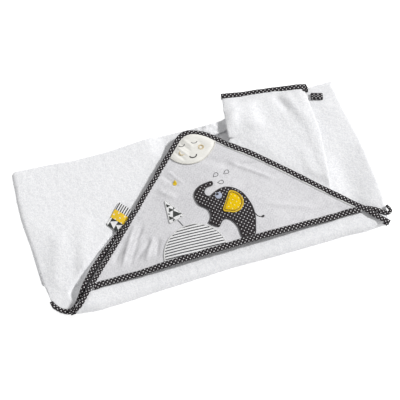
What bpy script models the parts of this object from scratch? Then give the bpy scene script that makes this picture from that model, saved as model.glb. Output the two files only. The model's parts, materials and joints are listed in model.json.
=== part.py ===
"""Folded hooded baby towel: terry bundle with a lined corner hood, bound edges and sewn-on motifs.

X runs along the hood's mouth, Y away from the front fold, Z up. The origin is at the middle
of the bundle on the surface it lies on. All sizes are in metres.
"""
import math

import bmesh
import bpy
from mathutils import Vector

# Cloth
TERRY = 0.0034            # one folded layer of terry
GAP = 0.0003              # running gap between touching layers
TAPE = 0.0008             # cotton bias tape, one layer
TAPE_WIDTH = 0.009        # finished width of the bound edge
LINING = 0.0008
PANEL = 0.0008
PATCH = 0.0008            # one appliqued layer
EDGE_ROUND = 0.0012       # soft edge of a terry layer

# Folded bundle
LEFT_FOLD = -0.250
RIGHT_FOLD = 0.241
FAR_EDGE = 0.110
FRONT_AXIS = -0.1225      # line about which the hood section folds over
CORNER_CUT = 0.026        # short bound edge across the front left corner
CORNER_STEP = 0.011       # how far the layers above and below stand back from it
LAYERS_BELOW = 3          # full layers under the side panels

# Hood, measured on the middle lines of its bound edges
MOUTH_LINE = -0.094
MOUTH_LENGTH = 0.404
HOOD_CENTRE = 0.014
APEX_RADIUS = 0.034
POCKET_RISE = 0.0065      # how far the hood stands off the towel in the middle of its mouth
POCKET_RAMP = 0.085       # distance over which it comes down to the legs
MESH_CELL = 0.012         # spacing of the bends in the draped sheets

# Side panels
LEFT_PANEL_LOW = (-0.224, -0.114)    # bound edge of the left panel, on its middle line
LEFT_PANEL_SLOPE = 0.897
PANEL_SHOULDER = 0.084    # above this line the left panel runs on past the hood's apex
FLAP_TOP_LEFT = (0.076, 0.134)
FLAP_TOP_RIGHT = (0.198, 0.114)
FLAP_RIGHT_KNEE = (0.197, 0.043)
FLAP_LEFT_LOW = 0.062
FLAP_RIGHT_LOW = 0.184
FLAP_CLEAR = 0.0018       # flap's hinge edge to the hood's outer edge
TUCKED_NOTCH = 0.035      # the tucked panel's front right corner stands back by this
HOOK_RADIUS = 0.0022      # turned tape at the front right corner

# Side tag and hanging loop
TAG_ALONG = -0.089        # its middle, measured along the left leg
TAG_WIDTH = 0.038
TAG_LENGTH = 0.0212
TAG_THICK = 0.0016
LOOP_SEAM = (0.2030, 0.1000)
LOOP_ANGLE = -17.0        # degrees, the way the loop points
LOOP_LENGTH = 0.0180
LOOP_WIDTH = 0.010
LOOP_HEIGHT = 0.0034

# Motifs
MOON_CENTRE = (0.006, 0.080)
MOON_RADIUS = 0.038
EYE_APART = 0.0185        # between the middles of the moon's closed eyes
CHEEK_APART = 0.029
CHEEK_RADIUS = 0.0036
HILL_CENTRE = (-0.0335, -0.0925)
HILL_RADIUS = 0.0455
EYE_RADIUS = 0.0052       # the elephant's
PUPIL_RADIUS = 0.0018
DROP_RADIUS = 0.0030      # round foot of a water drop
DROP_LENGTH = 0.0085
STITCH = 0.0006           # half the height of a stitched line

SQRT2 = math.sqrt(2.0)
LEG_HALF = TAPE_WIDTH / 2
APEX_LINE = MOUTH_LINE + MOUTH_LENGTH / 2

# Heights, from the surface up
LAYER_PITCH = TERRY + GAP
BASE_TOP = LAYERS_BELOW * LAYER_PITCH - GAP
SIDE_LOW = BASE_TOP + GAP + TAPE + GAP
SIDE_HIGH = SIDE_LOW + TERRY
CORNER_LOW = SIDE_HIGH + GAP + TAPE + GAP + TAPE + GAP
CORNER_HIGH = CORNER_LOW + TERRY
LINING_LOW = CORNER_HIGH + GAP + TAPE + GAP
PANEL_LOW = LINING_LOW + LINING + GAP
PANEL_HIGH = PANEL_LOW + PANEL
ROLL_RADIUS = (CORNER_HIGH + 0.0015) / 2
BASE_FRONT = FRONT_AXIS + ROLL_RADIUS + GAP
CORNER_FRONT = FRONT_AXIS + math.sqrt((ROLL_RADIUS + GAP) ** 2 - (CORNER_LOW - ROLL_RADIUS) ** 2) + GAP

towel = bpy.data.collections.new("hooded_baby_towel")


def clear_scene():
    for thing in list(bpy.data.objects):
        bpy.data.objects.remove(thing, do_unlink=True)
    bpy.context.scene.collection.children.link(towel)


def finish(name, colour, roughness=0.9):
    made = bpy.data.materials.new(name)
    made.use_nodes = True
    shader = made.node_tree.nodes["Principled BSDF"]
    shader.inputs["Base Color"].default_value = (*colour, 1.0)
    shader.inputs["Roughness"].default_value = roughness
    shader.inputs["Metallic"].default_value = 0.0
    return made


def rounded(corners, radius, steps=4):
    """The outline through the corners, each turned on an arc."""
    outline = []
    for index, corner in enumerate(corners):
        here = Vector(corner)
        back = (Vector(corners[index - 1]) - here).normalized()
        ahead = (Vector(corners[(index + 1) % len(corners)]) - here).normalized()
        half = back.angle(ahead) / 2
        middle = here + (back + ahead).normalized() * (radius / math.sin(half))
        start = here + back * (radius / math.tan(half)) - middle
        end = here + ahead * (radius / math.tan(half)) - middle
        turn = start.angle_signed(end)
        for step in range(steps + 1):
            angle = math.atan2(start.y, start.x) - turn * step / steps
            outline.append((middle.x + radius * math.cos(angle), middle.y + radius * math.sin(angle)))
    return outline


def smooth_loop(points, steps=4):
    """A closed curve that passes through every point."""
    made = []
    count = len(points)
    for index in range(count):
        a, b, c, d = (Vector(points[(index + shift) % count]) for shift in (-1, 0, 1, 2))
        for step in range(steps):
            t = step / steps
            spot = 0.5 * (2 * b + (c - a) * t + (2 * a - 5 * b + 4 * c - d) * t ** 2
                          + (3 * b - a - 3 * c + d) * t ** 3)
            made.append((spot.x, spot.y))
    return made


def circle(centre, radius, steps=32):
    return [(centre[0] + radius * math.cos(2 * math.pi * step / steps),
             centre[1] + radius * math.sin(2 * math.pi * step / steps)) for step in range(steps)]


def half_round(centre, across, deep, steps=7):
    """The lower half of an oval, from its left end to its right."""
    return [(centre[0] + across * math.cos(angle), centre[1] + deep * math.sin(angle))
            for angle in (math.pi * (1 + step / steps) for step in range(steps + 1))]


def hood_outline(outset, front, steps=8):
    """The hood's rounded right-angled triangle, cut straight at the front."""
    apex = APEX_LINE + outset * SQRT2
    radius = APEX_RADIUS + outset
    centre = apex - radius * SQRT2
    reach = apex - front
    arc = []
    for step in range(steps + 1):
        angle = math.radians(45 + 90 * step / steps)
        arc.append((HOOD_CENTRE + radius * math.cos(angle), centre + radius * math.sin(angle)))
    return [(HOOD_CENTRE - reach, front), (HOOD_CENTRE + reach, front)] + arc


def pocket_height(x, y):
    """How far the hood stands up at a place: nothing at the legs, most in the mouth's middle."""
    y = max(y, MOUTH_LINE + TAPE_WIDTH)
    to_left = (x - HOOD_CENTRE + APEX_LINE - y) / SQRT2
    to_right = (HOOD_CENTRE - x + APEX_LINE - y) / SQRT2
    height = POCKET_RISE
    for distance in (to_left, to_right):
        share = min(max((distance - TAPE_WIDTH) / POCKET_RAMP, 0.0), 1.0)
        height *= share * share * (3 - 2 * share)
    return height


def link(name, data, material, body=None):
    made = bpy.data.objects.new(name, data)
    made.data.materials.append(material)
    towel.objects.link(made)
    if body is not None:
        made.parent = body
        made.matrix_parent_inverse = body.matrix_basis.inverted()
    return made


def hinge_empty(name, place):
    made = bpy.data.objects.new(name, None)
    made.location = place
    towel.objects.link(made)
    return made


def slab(name, outline, low, high, material, edge=EDGE_ROUND, body=None):
    """A flat layer with soft edges."""
    data = bpy.data.curves.new(name, "CURVE")
    data.dimensions = "2D"
    data.fill_mode = "BOTH"
    spline = data.splines.new("POLY")
    spline.points.add(len(outline) - 1)
    for point, (x, y) in zip(spline.points, outline):
        point.co = (x, y, 0.0, 1.0)
    spline.use_cyclic_u = True
    data.extrude = (high - low) / 2 - edge
    data.bevel_depth = edge
    data.bevel_resolution = 1
    data.offset = -edge
    made = link(name, data, material, body)
    made.location.z = (high + low) / 2
    return made


def sheet(name, outline, low, thickness, material, body, trims=()):
    """A thin sheet or patch that follows the hood's soft rise."""
    work = bmesh.new()
    ring = [work.verts.new((x, y, 0.0)) for x, y in outline]
    edges = [work.edges.new((ring[index - 1], ring[index])) for index in range(len(ring))]
    bmesh.ops.triangle_fill(work, use_beauty=True, edges=edges, normal=(0.0, 0.0, 1.0))
    for place, outward in trims:
        everything = work.verts[:] + work.edges[:] + work.faces[:]
        bmesh.ops.bisect_plane(work, geom=everything, plane_co=place, plane_no=outward, clear_outer=True)
    for axis in (0, 1):
        values = [vert.co[axis] for vert in work.verts]
        first = math.floor(min(values) / MESH_CELL) + 1
        last = math.ceil(max(values) / MESH_CELL)
        normal = Vector((1.0, 0.0, 0.0)) if axis == 0 else Vector((0.0, 1.0, 0.0))
        for line in range(first, last):
            everything = work.verts[:] + work.edges[:] + work.faces[:]
            bmesh.ops.bisect_plane(work, geom=everything, plane_co=normal * line * MESH_CELL, plane_no=normal)
    bmesh.ops.remove_doubles(work, verts=work.verts, dist=0.00005)
    for vert in work.verts:
        vert.co.z = low + pocket_height(vert.co.x, vert.co.y)
    for face in work.faces:
        face.normal_update()
        if face.normal.z < 0:
            face.normal_flip()
    data = bpy.data.meshes.new(name)
    work.to_mesh(data)
    work.free()
    made = link(name, data, material, body)
    solid = made.modifiers.new("thickness", "SOLIDIFY")
    solid.thickness = thickness
    solid.offset = 1.0
    return made


def stitched_line(name, points, low, material, body, closed=False, radius=STITCH):
    """A raised line of stitches lying on the hood."""
    data = bpy.data.curves.new(name, "CURVE")
    data.dimensions = "3D"
    spline = data.splines.new("POLY")
    spline.points.add(len(points) - 1)
    for point, (x, y) in zip(spline.points, points):
        point.co = (x, y, low + GAP + radius + pocket_height(x, y), 1.0)
    spline.use_cyclic_u = closed
    data.bevel_depth = radius
    data.bevel_resolution = 1
    data.use_fill_caps = True
    return link(name, data, material, body)


def binding(name, path, low, high, material, body=None, inward=1.0):
    """A folded tape that wraps the edge of the cloth lying between two heights.

    inward is 1 where the cloth lies on the left of the path, and -1 where it lies on the right.
    """
    outer = -LEG_HALF * inward
    inner = LEG_HALF * inward
    web = outer + TAPE * inward
    section = [(outer, low - GAP - TAPE), (inner, low - GAP - TAPE), (inner, low - GAP), (web, low - GAP),
               (web, high + GAP), (inner, high + GAP), (inner, high + GAP + TAPE), (outer, high + GAP + TAPE)]
    work = bmesh.new()
    rings = []
    for index, point in enumerate(path):
        here = Vector(point)
        before = Vector(path[max(index - 1, 0)])
        after = Vector(path[min(index + 1, len(path) - 1)])
        sides = []
        for start, end in ((before, here), (here, after)):
            run = (end - start).to_2d()
            if run.length > 0:
                sides.append(Vector((-run.y, run.x)).normalized())
        side = (sides[0] + sides[-1]).normalized()
        side /= side.dot(sides[0])
        rings.append([work.verts.new((here.x + side.x * across, here.y + side.y * across, here.z + up))
                      for across, up in section])
    count = len(section)
    for first, second in zip(rings, rings[1:]):
        for index in range(count):
            follow = (index + 1) % count
            work.faces.new((first[index], first[follow], second[follow], second[index]))
    work.faces.new(rings[0])
    work.faces.new(reversed(rings[-1]))
    bmesh.ops.recalc_face_normals(work, faces=work.faces)
    data = bpy.data.meshes.new(name)
    work.to_mesh(data)
    work.free()
    return link(name, data, material, body)


def base_outline(step):
    """The folded rectangle, its front left corner cut across."""
    cut = CORNER_CUT + step
    return rounded([(LEFT_FOLD, BASE_FRONT + cut), (LEFT_FOLD + cut, BASE_FRONT), (RIGHT_FOLD, BASE_FRONT),
                    (RIGHT_FOLD, FAR_EDGE), (LEFT_FOLD, FAR_EDGE)], 0.006)


def left_edge_x(y):
    return LEFT_PANEL_LOW[0] + (y - LEFT_PANEL_LOW[1]) / LEFT_PANEL_SLOPE


def build_base(terry, tape):
    names = ("bottom_layer", "middle_layer", "back_right_layer")
    for level, name in enumerate(names):
        step = 0.0 if name == "middle_layer" else CORNER_STEP
        slab(name, base_outline(step), level * LAYER_PITCH, level * LAYER_PITCH + TERRY, terry)
    cut = CORNER_CUT + (LEG_HALF - TAPE - GAP) * SQRT2
    ends = TERRY
    path = [(LEFT_FOLD + cut - ends, BASE_FRONT + ends, 0.0), (LEFT_FOLD + ends, BASE_FRONT + cut - ends, 0.0)]
    binding("lower_left_binding", path, LAYER_PITCH, LAYER_PITCH + TERRY, tape, inward=-1.0)

    leg_foot = HOOD_CENTRE - (APEX_LINE - FRONT_AXIS)
    roll_left = leg_foot + LEG_HALF
    roll_right = RIGHT_FOLD - GAP
    bpy.ops.mesh.primitive_cylinder_add(vertices=32, radius=ROLL_RADIUS, depth=roll_right - roll_left)
    roll = bpy.context.object
    roll.name = roll.data.name = "front_fold_roll"
    roll.location = ((roll_left + roll_right) / 2, FRONT_AXIS, ROLL_RADIUS)
    roll.rotation_euler = (0.0, math.pi / 2, 0.0)
    roll.data.materials.append(terry)
    roll.data.shade_smooth()
    soften = roll.modifiers.new("soft ends", "BEVEL")
    soften.width = 0.003
    soften.segments = 2
    soften.angle_limit = math.radians(60)
    for holder in list(roll.users_collection):
        holder.objects.unlink(roll)
    towel.objects.link(roll)


def build_side_panels(terry, tape):
    back = LEG_HALF - TAPE - GAP
    slope_length = math.hypot(1.0, LEFT_PANEL_SLOPE)
    shift = back * slope_length / LEFT_PANEL_SLOPE
    front = BASE_FRONT + GAP
    step = CORNER_CUT + CORNER_STEP
    shoulder = FLAP_LEFT_LOW - TERRY / 2
    corners = [(LEFT_FOLD, front + step), (left_edge_x(front + step) + shift, front + step),
               (left_edge_x(PANEL_SHOULDER) + shift, PANEL_SHOULDER), (shoulder, PANEL_SHOULDER),
               (shoulder, FAR_EDGE), (LEFT_FOLD, FAR_EDGE)]
    slab("left_side_panel", rounded(corners, 0.004), SIDE_LOW, SIDE_HIGH, terry)
    path = [(left_edge_x(y), y, 0.0) for y in (front + step, PANEL_SHOULDER - LEG_HALF)]
    binding("left_panel_binding", path, SIDE_LOW, SIDE_HIGH, tape, inward=1.0)

    spare = (LEG_HALF + GAP) * slope_length / LEFT_PANEL_SLOPE
    sum_flap = HOOD_CENTRE + APEX_LINE + (LEG_HALF + FLAP_CLEAR) * SQRT2
    sum_tucked = sum_flap - GAP * SQRT2
    top = PANEL_SHOULDER - GAP
    right = sum_tucked - front - TUCKED_NOTCH
    corners = [(left_edge_x(front) + spare, front), (right, front), (right, front + TUCKED_NOTCH),
               (sum_tucked - top, top), (left_edge_x(top) + spare, top)]
    slab("tucked_panel", rounded(corners, 0.003), SIDE_LOW, SIDE_HIGH, terry)
    return sum_flap


def build_flap(terry, tape, sum_flap):
    hinge_sum = sum_flap + TERRY / 2 * SQRT2
    middle_x = (FLAP_LEFT_LOW + FLAP_RIGHT_LOW) / 2
    middle = Vector((middle_x, hinge_sum - middle_x, (SIDE_LOW + SIDE_HIGH) / 2))
    body = hinge_empty("right_flap_hinge", middle)
    top_left = Vector(FLAP_TOP_LEFT)
    top_right = Vector(FLAP_TOP_RIGHT)
    along = (top_right - top_left).normalized()
    inward = Vector((along.y, -along.x))
    inset = TAPE + GAP
    corners = [(FLAP_LEFT_LOW, sum_flap - FLAP_LEFT_LOW), (FLAP_RIGHT_LOW, sum_flap - FLAP_RIGHT_LOW), FLAP_RIGHT_KNEE,
               tuple(top_right + inward * inset), tuple(top_left + inward * inset)]
    slab("right_flap", rounded(corners, 0.0035), SIDE_LOW, SIDE_HIGH, terry, edge=TERRY / 2 - 0.0001, body=body)
    start = top_left + inward * LEG_HALF
    end = top_right + inward * LEG_HALF
    binding("flap_end_binding", [(end.x, end.y, 0.0), (start.x, start.y, 0.0)], SIDE_LOW, SIDE_HIGH, tape,
            body=body, inward=1.0)


def build_right_corner(tape):
    """The bound corner of the layer below, which hooks round the right fold."""
    height = BASE_TOP + GAP + HOOK_RADIUS
    leg_end = HOOD_CENTRE + APEX_LINE - MOUTH_LINE
    reach = -LEFT_FOLD - HOOK_RADIUS
    path = [(leg_end - 0.001, MOUTH_LINE + 0.0095), (leg_end + 0.013, MOUTH_LINE), (reach - 0.0075, MOUTH_LINE - 0.0070),
            (reach - 0.0015, MOUTH_LINE - 0.0085), (reach, MOUTH_LINE - 0.0005)]
    data = bpy.data.curves.new("right_corner_binding", "CURVE")
    data.dimensions = "3D"
    spline = data.splines.new("POLY")
    spline.points.add(len(path) - 1)
    for point, (x, y) in zip(spline.points, path):
        point.co = (x, y, height, 1.0)
    data.bevel_depth = HOOK_RADIUS
    data.bevel_resolution = 2
    data.use_fill_caps = True
    link("right_corner_binding", data, tape)


def build_hood_section(terry, lining, chambray, tape):
    body = hinge_empty("hood_section_hinge", (0.0, FRONT_AXIS, ROLL_RADIUS))
    inset = LEG_HALF - TAPE - GAP
    slab("hood_corner_layer", hood_outline(inset, CORNER_FRONT), CORNER_LOW, CORNER_HIGH, terry,
         edge=EDGE_ROUND / 2, body=body)
    hem = MOUTH_LINE - inset
    sheet("hood_lining", hood_outline(inset, hem), LINING_LOW, LINING, lining, body)
    sheet("hood_panel", hood_outline(inset, hem), PANEL_LOW, PANEL, chambray, body)

    legs = hood_outline(0.0, CORNER_FRONT + LEG_HALF / SQRT2 + TAPE)
    path = [(x, y, 0.0) for x, y in [legs[1]] + legs[2:] + [legs[0]]]
    binding("hood_leg_binding", path, CORNER_LOW, PANEL_HIGH, tape, body=body, inward=1.0)

    clear = LEG_HALF * SQRT2 + GAP
    left = HOOD_CENTRE - (APEX_LINE - MOUTH_LINE - LEG_HALF) + clear
    right = HOOD_CENTRE + (APEX_LINE - MOUTH_LINE - LEG_HALF) - clear
    stops = [left] + [line * MESH_CELL for line in range(math.ceil(left / MESH_CELL), math.floor(right / MESH_CELL) + 1)]
    path = [(x, MOUTH_LINE, pocket_height(x, MOUTH_LINE)) for x in stops + [right]]
    binding("hood_mouth_binding", path, LINING_LOW, PANEL_HIGH, tape, body=body, inward=1.0)
    return body


def inner_edge_trims():
    """Planes along the inner edge of the leg binding."""
    outline = hood_outline(-LEG_HALF - GAP, MOUTH_LINE)
    trims = []
    for index in range(1, len(outline)):
        start = Vector((*outline[index], 0.0))
        run = Vector((*outline[(index + 1) % len(outline)], 0.0)) - start
        trims.append((start, Vector((run.y, -run.x, 0.0)).normalized()))
    return trims


def build_moon(body, satin, thread, yellow):
    first = PANEL_HIGH + GAP
    second = first + PATCH
    sheet("moon", circle(MOON_CENTRE, MOON_RADIUS, 40), first, PATCH, satin, body, inner_edge_trims())
    middle, height = MOON_CENTRE
    for side, way in (("left", -1), ("right", 1)):
        eye = half_round((middle + way * EYE_APART / 2 - 0.0018, height - 0.0045), 0.0045, 0.0035)
        stitched_line(f"moon_eye_{side}", eye, second, thread, body)
        cheek = circle((middle + way * CHEEK_APART / 2, height - 0.0165 + way * 0.0005), CHEEK_RADIUS, 14)
        stitched_line(f"moon_cheek_{side}", cheek, second, yellow, body, closed=True)
    smile = half_round((middle, height - 0.0255), 0.0065, 0.004)
    stitched_line("moon_smile", smile, second, thread, body)


def build_elephant(body, charcoal, yellow, pale, thread):
    first = PANEL_HIGH + GAP
    second = first + PATCH + GAP
    third = second + PATCH + GAP
    outline = [(0.019, 0.007), (0.008, 0.006), (-0.003, 0.003), (-0.010, -0.005), (-0.011, -0.014),
               (-0.008, -0.023), (-0.001, -0.031), (0.002, -0.041), (-0.004, -0.052), (0.009, -0.063),
               (0.014, -0.059), (0.023, -0.056), (0.031, -0.065), (0.036, -0.082), (0.053, -0.087),
               (0.060, -0.075), (0.065, -0.055), (0.062, -0.036), (0.056, -0.022), (0.046, -0.012),
               (0.035, -0.009), (0.025, -0.009), (0.016, -0.011), (0.008, -0.013), (0.005, -0.006),
               (0.011, -0.002), (0.018, 0.001)]
    sheet("elephant_body", smooth_loop(outline, 3), first, PATCH, charcoal, body)
    ear = [(0.040, -0.017), (0.049, -0.024), (0.053, -0.037), (0.046, -0.046), (0.034, -0.049),
           (0.023, -0.042), (0.029, -0.029)]
    sheet("elephant_ear", smooth_loop(ear), second, PATCH, yellow, body)
    sheet("elephant_eye", circle((0.0220, -0.0180), EYE_RADIUS, 16), second, PATCH, pale, body)
    sheet("elephant_pupil", circle((0.0218, -0.0158), PUPIL_RADIUS, 10), third, PATCH / 2, thread, body)
    tail = [(0.0665, -0.0575), (0.0675, -0.0615), (0.0695, -0.0645), (0.0715, -0.0655)]
    stitched_line("elephant_tail", tail, PANEL_HIGH, thread, body)
    tuft = smooth_loop([(0.0728, -0.0655), (0.0755, -0.0625), (0.0785, -0.0645), (0.0760, -0.0690)])
    sheet("elephant_tail_tuft", tuft, first, PATCH, thread, body)


def build_landscape(body, printed, thread, yellow):
    first = PANEL_HIGH + GAP
    base = Vector((0.0, MOUTH_LINE + LEG_HALF + GAP, 0.0))
    sheet("striped_hill", circle(HILL_CENTRE, HILL_RADIUS, 48), first, PATCH, printed, body,
          [(base, Vector((0.0, -1.0, 0.0)))])
    tree = rounded([(-0.0530, 0.0010), (-0.0560, -0.0365), (-0.0340, -0.0315)], 0.0015)
    sheet("tree", tree, first, PATCH, printed, body)
    trunk = [(-0.0440, -0.0355), (-0.0425, -0.0390), (-0.0410, -0.0425), (-0.0395, -0.0460)]
    stitched_line("tree_trunk", trunk, PANEL_HIGH, thread, body)
    sprayed = (((0.0285, 0.0160), -150.0), ((0.0445, 0.0160), -157.0), ((0.0325, 0.0020), 175.0))
    for number, (foot, pointing) in enumerate(sprayed, start=1):
        outline = drop(foot, DROP_RADIUS, DROP_LENGTH, pointing)
        stitched_line(f"water_drop_{number}", outline, PANEL_HIGH, thread, body, closed=True)
    sheet("yellow_drop", drop((-0.0315, 0.0215), 0.0024, 0.0080, 73.0), first, PATCH, yellow, body)


def drop(centre, radius, length, pointing):
    """A drop with a round foot about its centre and a tip that points the given way, in degrees."""
    way = math.radians(pointing)
    tip = length - radius
    half = math.acos(radius / tip)
    foot = [(centre[0] + radius * math.cos(way + angle), centre[1] + radius * math.sin(way + angle))
            for angle in (half + (2 * math.pi - 2 * half) * step / 12 for step in range(13))]
    return [(centre[0] + tip * math.cos(way), centre[1] + tip * math.sin(way))] + foot


def build_tag(printed):
    """A folded ribbon caught in the seam of the left leg, free to lift about that seam."""
    radius = TAG_THICK / 2
    seam = LEG_HALF + GAP + radius
    height = CORNER_LOW - TAPE + TAG_THICK / 2
    along = Vector((1.0, 1.0)) / SQRT2
    out = Vector((-1.0, 1.0)) / SQRT2
    foot = Vector((-1.0, 1.0)) * (APEX_LINE - HOOD_CENTRE) / 2
    centre = foot + along * TAG_ALONG + out * seam
    body = hinge_empty("side_tag_hinge", (centre.x, centre.y, height))
    near, far = -radius, TAG_LENGTH
    half = TAG_WIDTH / 2
    corners = [centre + along * a + out * b for a, b in ((-half, near), (half, near), (half, far), (-half, far))]
    slab("side_tag", rounded([tuple(corner) for corner in corners], 0.0012), height - radius, height + radius,
         printed, edge=radius - 0.0001, body=body)


def build_loop(tape):
    """A flat ribbon loop sewn to the layer below, free to lift about its seam."""
    low = BASE_TOP + GAP
    body = hinge_empty("hanging_loop_hinge", (*LOOP_SEAM, low + LOOP_HEIGHT / 2))
    body.rotation_euler.z = math.radians(LOOP_ANGLE)
    outer = LOOP_HEIGHT / 2
    turn = LOOP_LENGTH - outer
    profile = []
    for radius in (outer, outer - TAPE):
        arc = [(turn + radius * math.cos(angle), radius * math.sin(angle))
               for angle in (math.pi * (step / 8 - 0.5) for step in range(9))]
        profile.append([(0.0, -radius)] + arc + [(0.0, radius)])
    outline = profile[0] + list(reversed(profile[1]))
    data = bpy.data.curves.new("hanging_loop", "CURVE")
    data.dimensions = "2D"
    data.fill_mode = "BOTH"
    data.extrude = LOOP_WIDTH / 2
    spline = data.splines.new("POLY")
    spline.points.add(len(outline) - 1)
    for point, (x, y) in zip(spline.points, outline):
        point.co = (x, y, 0.0, 1.0)
    spline.use_cyclic_u = True
    made = bpy.data.objects.new("hanging_loop", data)
    made.data.materials.append(tape)
    towel.objects.link(made)
    made.parent = body
    made.rotation_euler = (math.pi / 2, 0.0, 0.0)


def main():
    clear_scene()
    terry = finish("white terry", (0.92, 0.92, 0.91), 0.95)
    lining = finish("white cotton lining", (0.88, 0.88, 0.87))
    chambray = finish("grey chambray", (0.60, 0.60, 0.62), 0.85)
    tape = finish("charcoal dotted tape", (0.06, 0.055, 0.06), 0.85)
    satin = finish("cream satin", (0.83, 0.80, 0.72), 0.45)
    yellow = finish("yellow dotted cotton", (0.86, 0.60, 0.05), 0.8)
    thread = finish("charcoal thread", (0.05, 0.05, 0.06), 0.6)
    pale = finish("pale blue felt", (0.66, 0.72, 0.78), 0.85)
    printed = finish("black and white print", (0.85, 0.85, 0.85), 0.8)

    build_base(terry, tape)
    sum_flap = build_side_panels(terry, tape)
    build_flap(terry, tape, sum_flap)
    build_right_corner(tape)
    hood = build_hood_section(terry, lining, chambray, tape)
    build_moon(hood, satin, thread, yellow)
    build_elephant(hood, tape, yellow, pale, thread)
    build_landscape(hood, printed, thread, yellow)
    build_tag(printed)
    build_loop(tape)


main()
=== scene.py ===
import json
import math

import bpy
import numpy as np
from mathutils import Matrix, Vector
from mathutils.geometry import delaunay_2d_cdt


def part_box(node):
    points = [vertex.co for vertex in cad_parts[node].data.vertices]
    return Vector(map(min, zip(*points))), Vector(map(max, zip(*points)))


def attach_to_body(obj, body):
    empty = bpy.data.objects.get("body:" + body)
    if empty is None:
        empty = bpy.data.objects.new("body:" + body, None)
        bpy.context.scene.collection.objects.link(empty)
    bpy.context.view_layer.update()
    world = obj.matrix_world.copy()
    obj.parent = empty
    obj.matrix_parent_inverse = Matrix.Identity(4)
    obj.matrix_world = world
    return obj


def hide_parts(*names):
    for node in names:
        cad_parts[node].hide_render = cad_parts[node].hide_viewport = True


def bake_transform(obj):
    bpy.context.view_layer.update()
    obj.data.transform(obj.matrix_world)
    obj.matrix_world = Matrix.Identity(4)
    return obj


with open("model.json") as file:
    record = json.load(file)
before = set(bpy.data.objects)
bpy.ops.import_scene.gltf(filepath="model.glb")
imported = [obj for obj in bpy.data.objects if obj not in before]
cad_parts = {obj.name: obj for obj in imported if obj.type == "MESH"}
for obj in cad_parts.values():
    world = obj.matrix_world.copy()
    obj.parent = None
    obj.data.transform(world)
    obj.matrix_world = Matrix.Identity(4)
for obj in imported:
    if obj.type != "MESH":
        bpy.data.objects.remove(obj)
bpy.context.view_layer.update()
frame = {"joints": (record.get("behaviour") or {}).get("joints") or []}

root2 = math.sqrt(2)
halfTurn = math.pi
up = np.array([0.0, 0.0, 1.0])


def middleHeight(node):
    low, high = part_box(node)
    return (low.z + high.z) / 2


def jointNamed(name):
    return next(joint for joint in frame["joints"] if joint["name"] == name)


# where the cloth lies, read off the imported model
heights = {
    "bottom": middleHeight("bottom_layer"),
    "middle": middleHeight("middle_layer"),
    "upper": middleHeight("back_right_layer"),
    "side": middleHeight("left_side_panel"),
    "corner": middleHeight("hood_corner_layer"),
    "panel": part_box("hood_panel")[0].z,
}
terry = {"thickness": 0.0034, "cell": 0.0027, "pile": 0.00026, "lumps": 0.00018}
tape = {"width": 0.009, "thickness": 0.0008, "step": 0.0022}
bundle = {
    "left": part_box("left_side_panel")[0].x,
    "right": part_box("bottom_layer")[1].x,
    "frontAxis": jointNamed("hood_fold")["pos_m"][1],
    "turnLow": 0.0124,     # the front roll passes from the towel to the hood between these heights
    "turnHigh": 0.0160,
}


# soft fields

class Drift:
    # a smooth random field, from about -1 to 1
    def __init__(self, seed, pitch):
        self.lattice = np.random.default_rng(seed).uniform(-1, 1, (61, 61))
        self.pitch = pitch

    def __call__(self, x, y):
        gx = np.asarray(x) / self.pitch + 700.3
        gy = np.asarray(y) / self.pitch + 500.7
        ix = np.floor(gx).astype(int)
        iy = np.floor(gy).astype(int)
        fx = gx - ix
        fy = gy - iy
        fx = fx * fx * (3 - 2 * fx)
        fy = fy * fy * (3 - 2 * fy)
        n = len(self.lattice)
        a = self.lattice[ix % n, iy % n]
        b = self.lattice[(ix + 1) % n, iy % n]
        c = self.lattice[ix % n, (iy + 1) % n]
        d = self.lattice[(ix + 1) % n, (iy + 1) % n]
        return (a * (1 - fx) + b * fx) * (1 - fy) + (c * (1 - fx) + d * fx) * fy


def smooth(t):
    t = np.clip(t, 0.0, 1.0)
    return t * t * (3 - 2 * t)


def crease(x, y, start, end, width, height):
    # a ridge (or, with a negative height, a furrow) that fades out at both ends
    run = np.array(end) - np.array(start)
    length = np.hypot(*run)
    along = ((x - start[0]) * run[0] + (y - start[1]) * run[1]) / length ** 2
    across = ((x - start[0]) * -run[1] + (y - start[1]) * run[0]) / length
    fade = smooth(along / 0.25) * smooth((1 - along) / 0.25)
    return height * fade * np.exp(-np.abs(across / width) ** 2)


def creased(x, y, creases):
    return sum(crease(x, y, *one) for one in creases)


settling = {
    "sway": 0.0009, "swayPitch": 0.085,
    "swell": 0.07, "swellPitch": 0.11,
    "ease": 0.0065,           # how far the hood's right leg eases in near its top
    "easeReach": 0.034, "easeFloor": 0.0160,
    "hoodSum": 0.1284,        # x + y along the hood's right leg
    "backSag": 0.36, "backSagX": (-0.055, 0.071), "backSagY": 0.062,
    "rightSag": 0.34, "rightSagX": 0.211, "rightSagY": (-0.112, 0.020), "rightSagWidth": 0.016,
    "sagTop": 0.0156, "sagFade": 0.0014,   # the hood, above this height, doesn't sag
}
swayX = Drift(3, settling["swayPitch"])
swayY = Drift(4, settling["swayPitch"])
swell = Drift(5, settling["swellPitch"])


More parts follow.
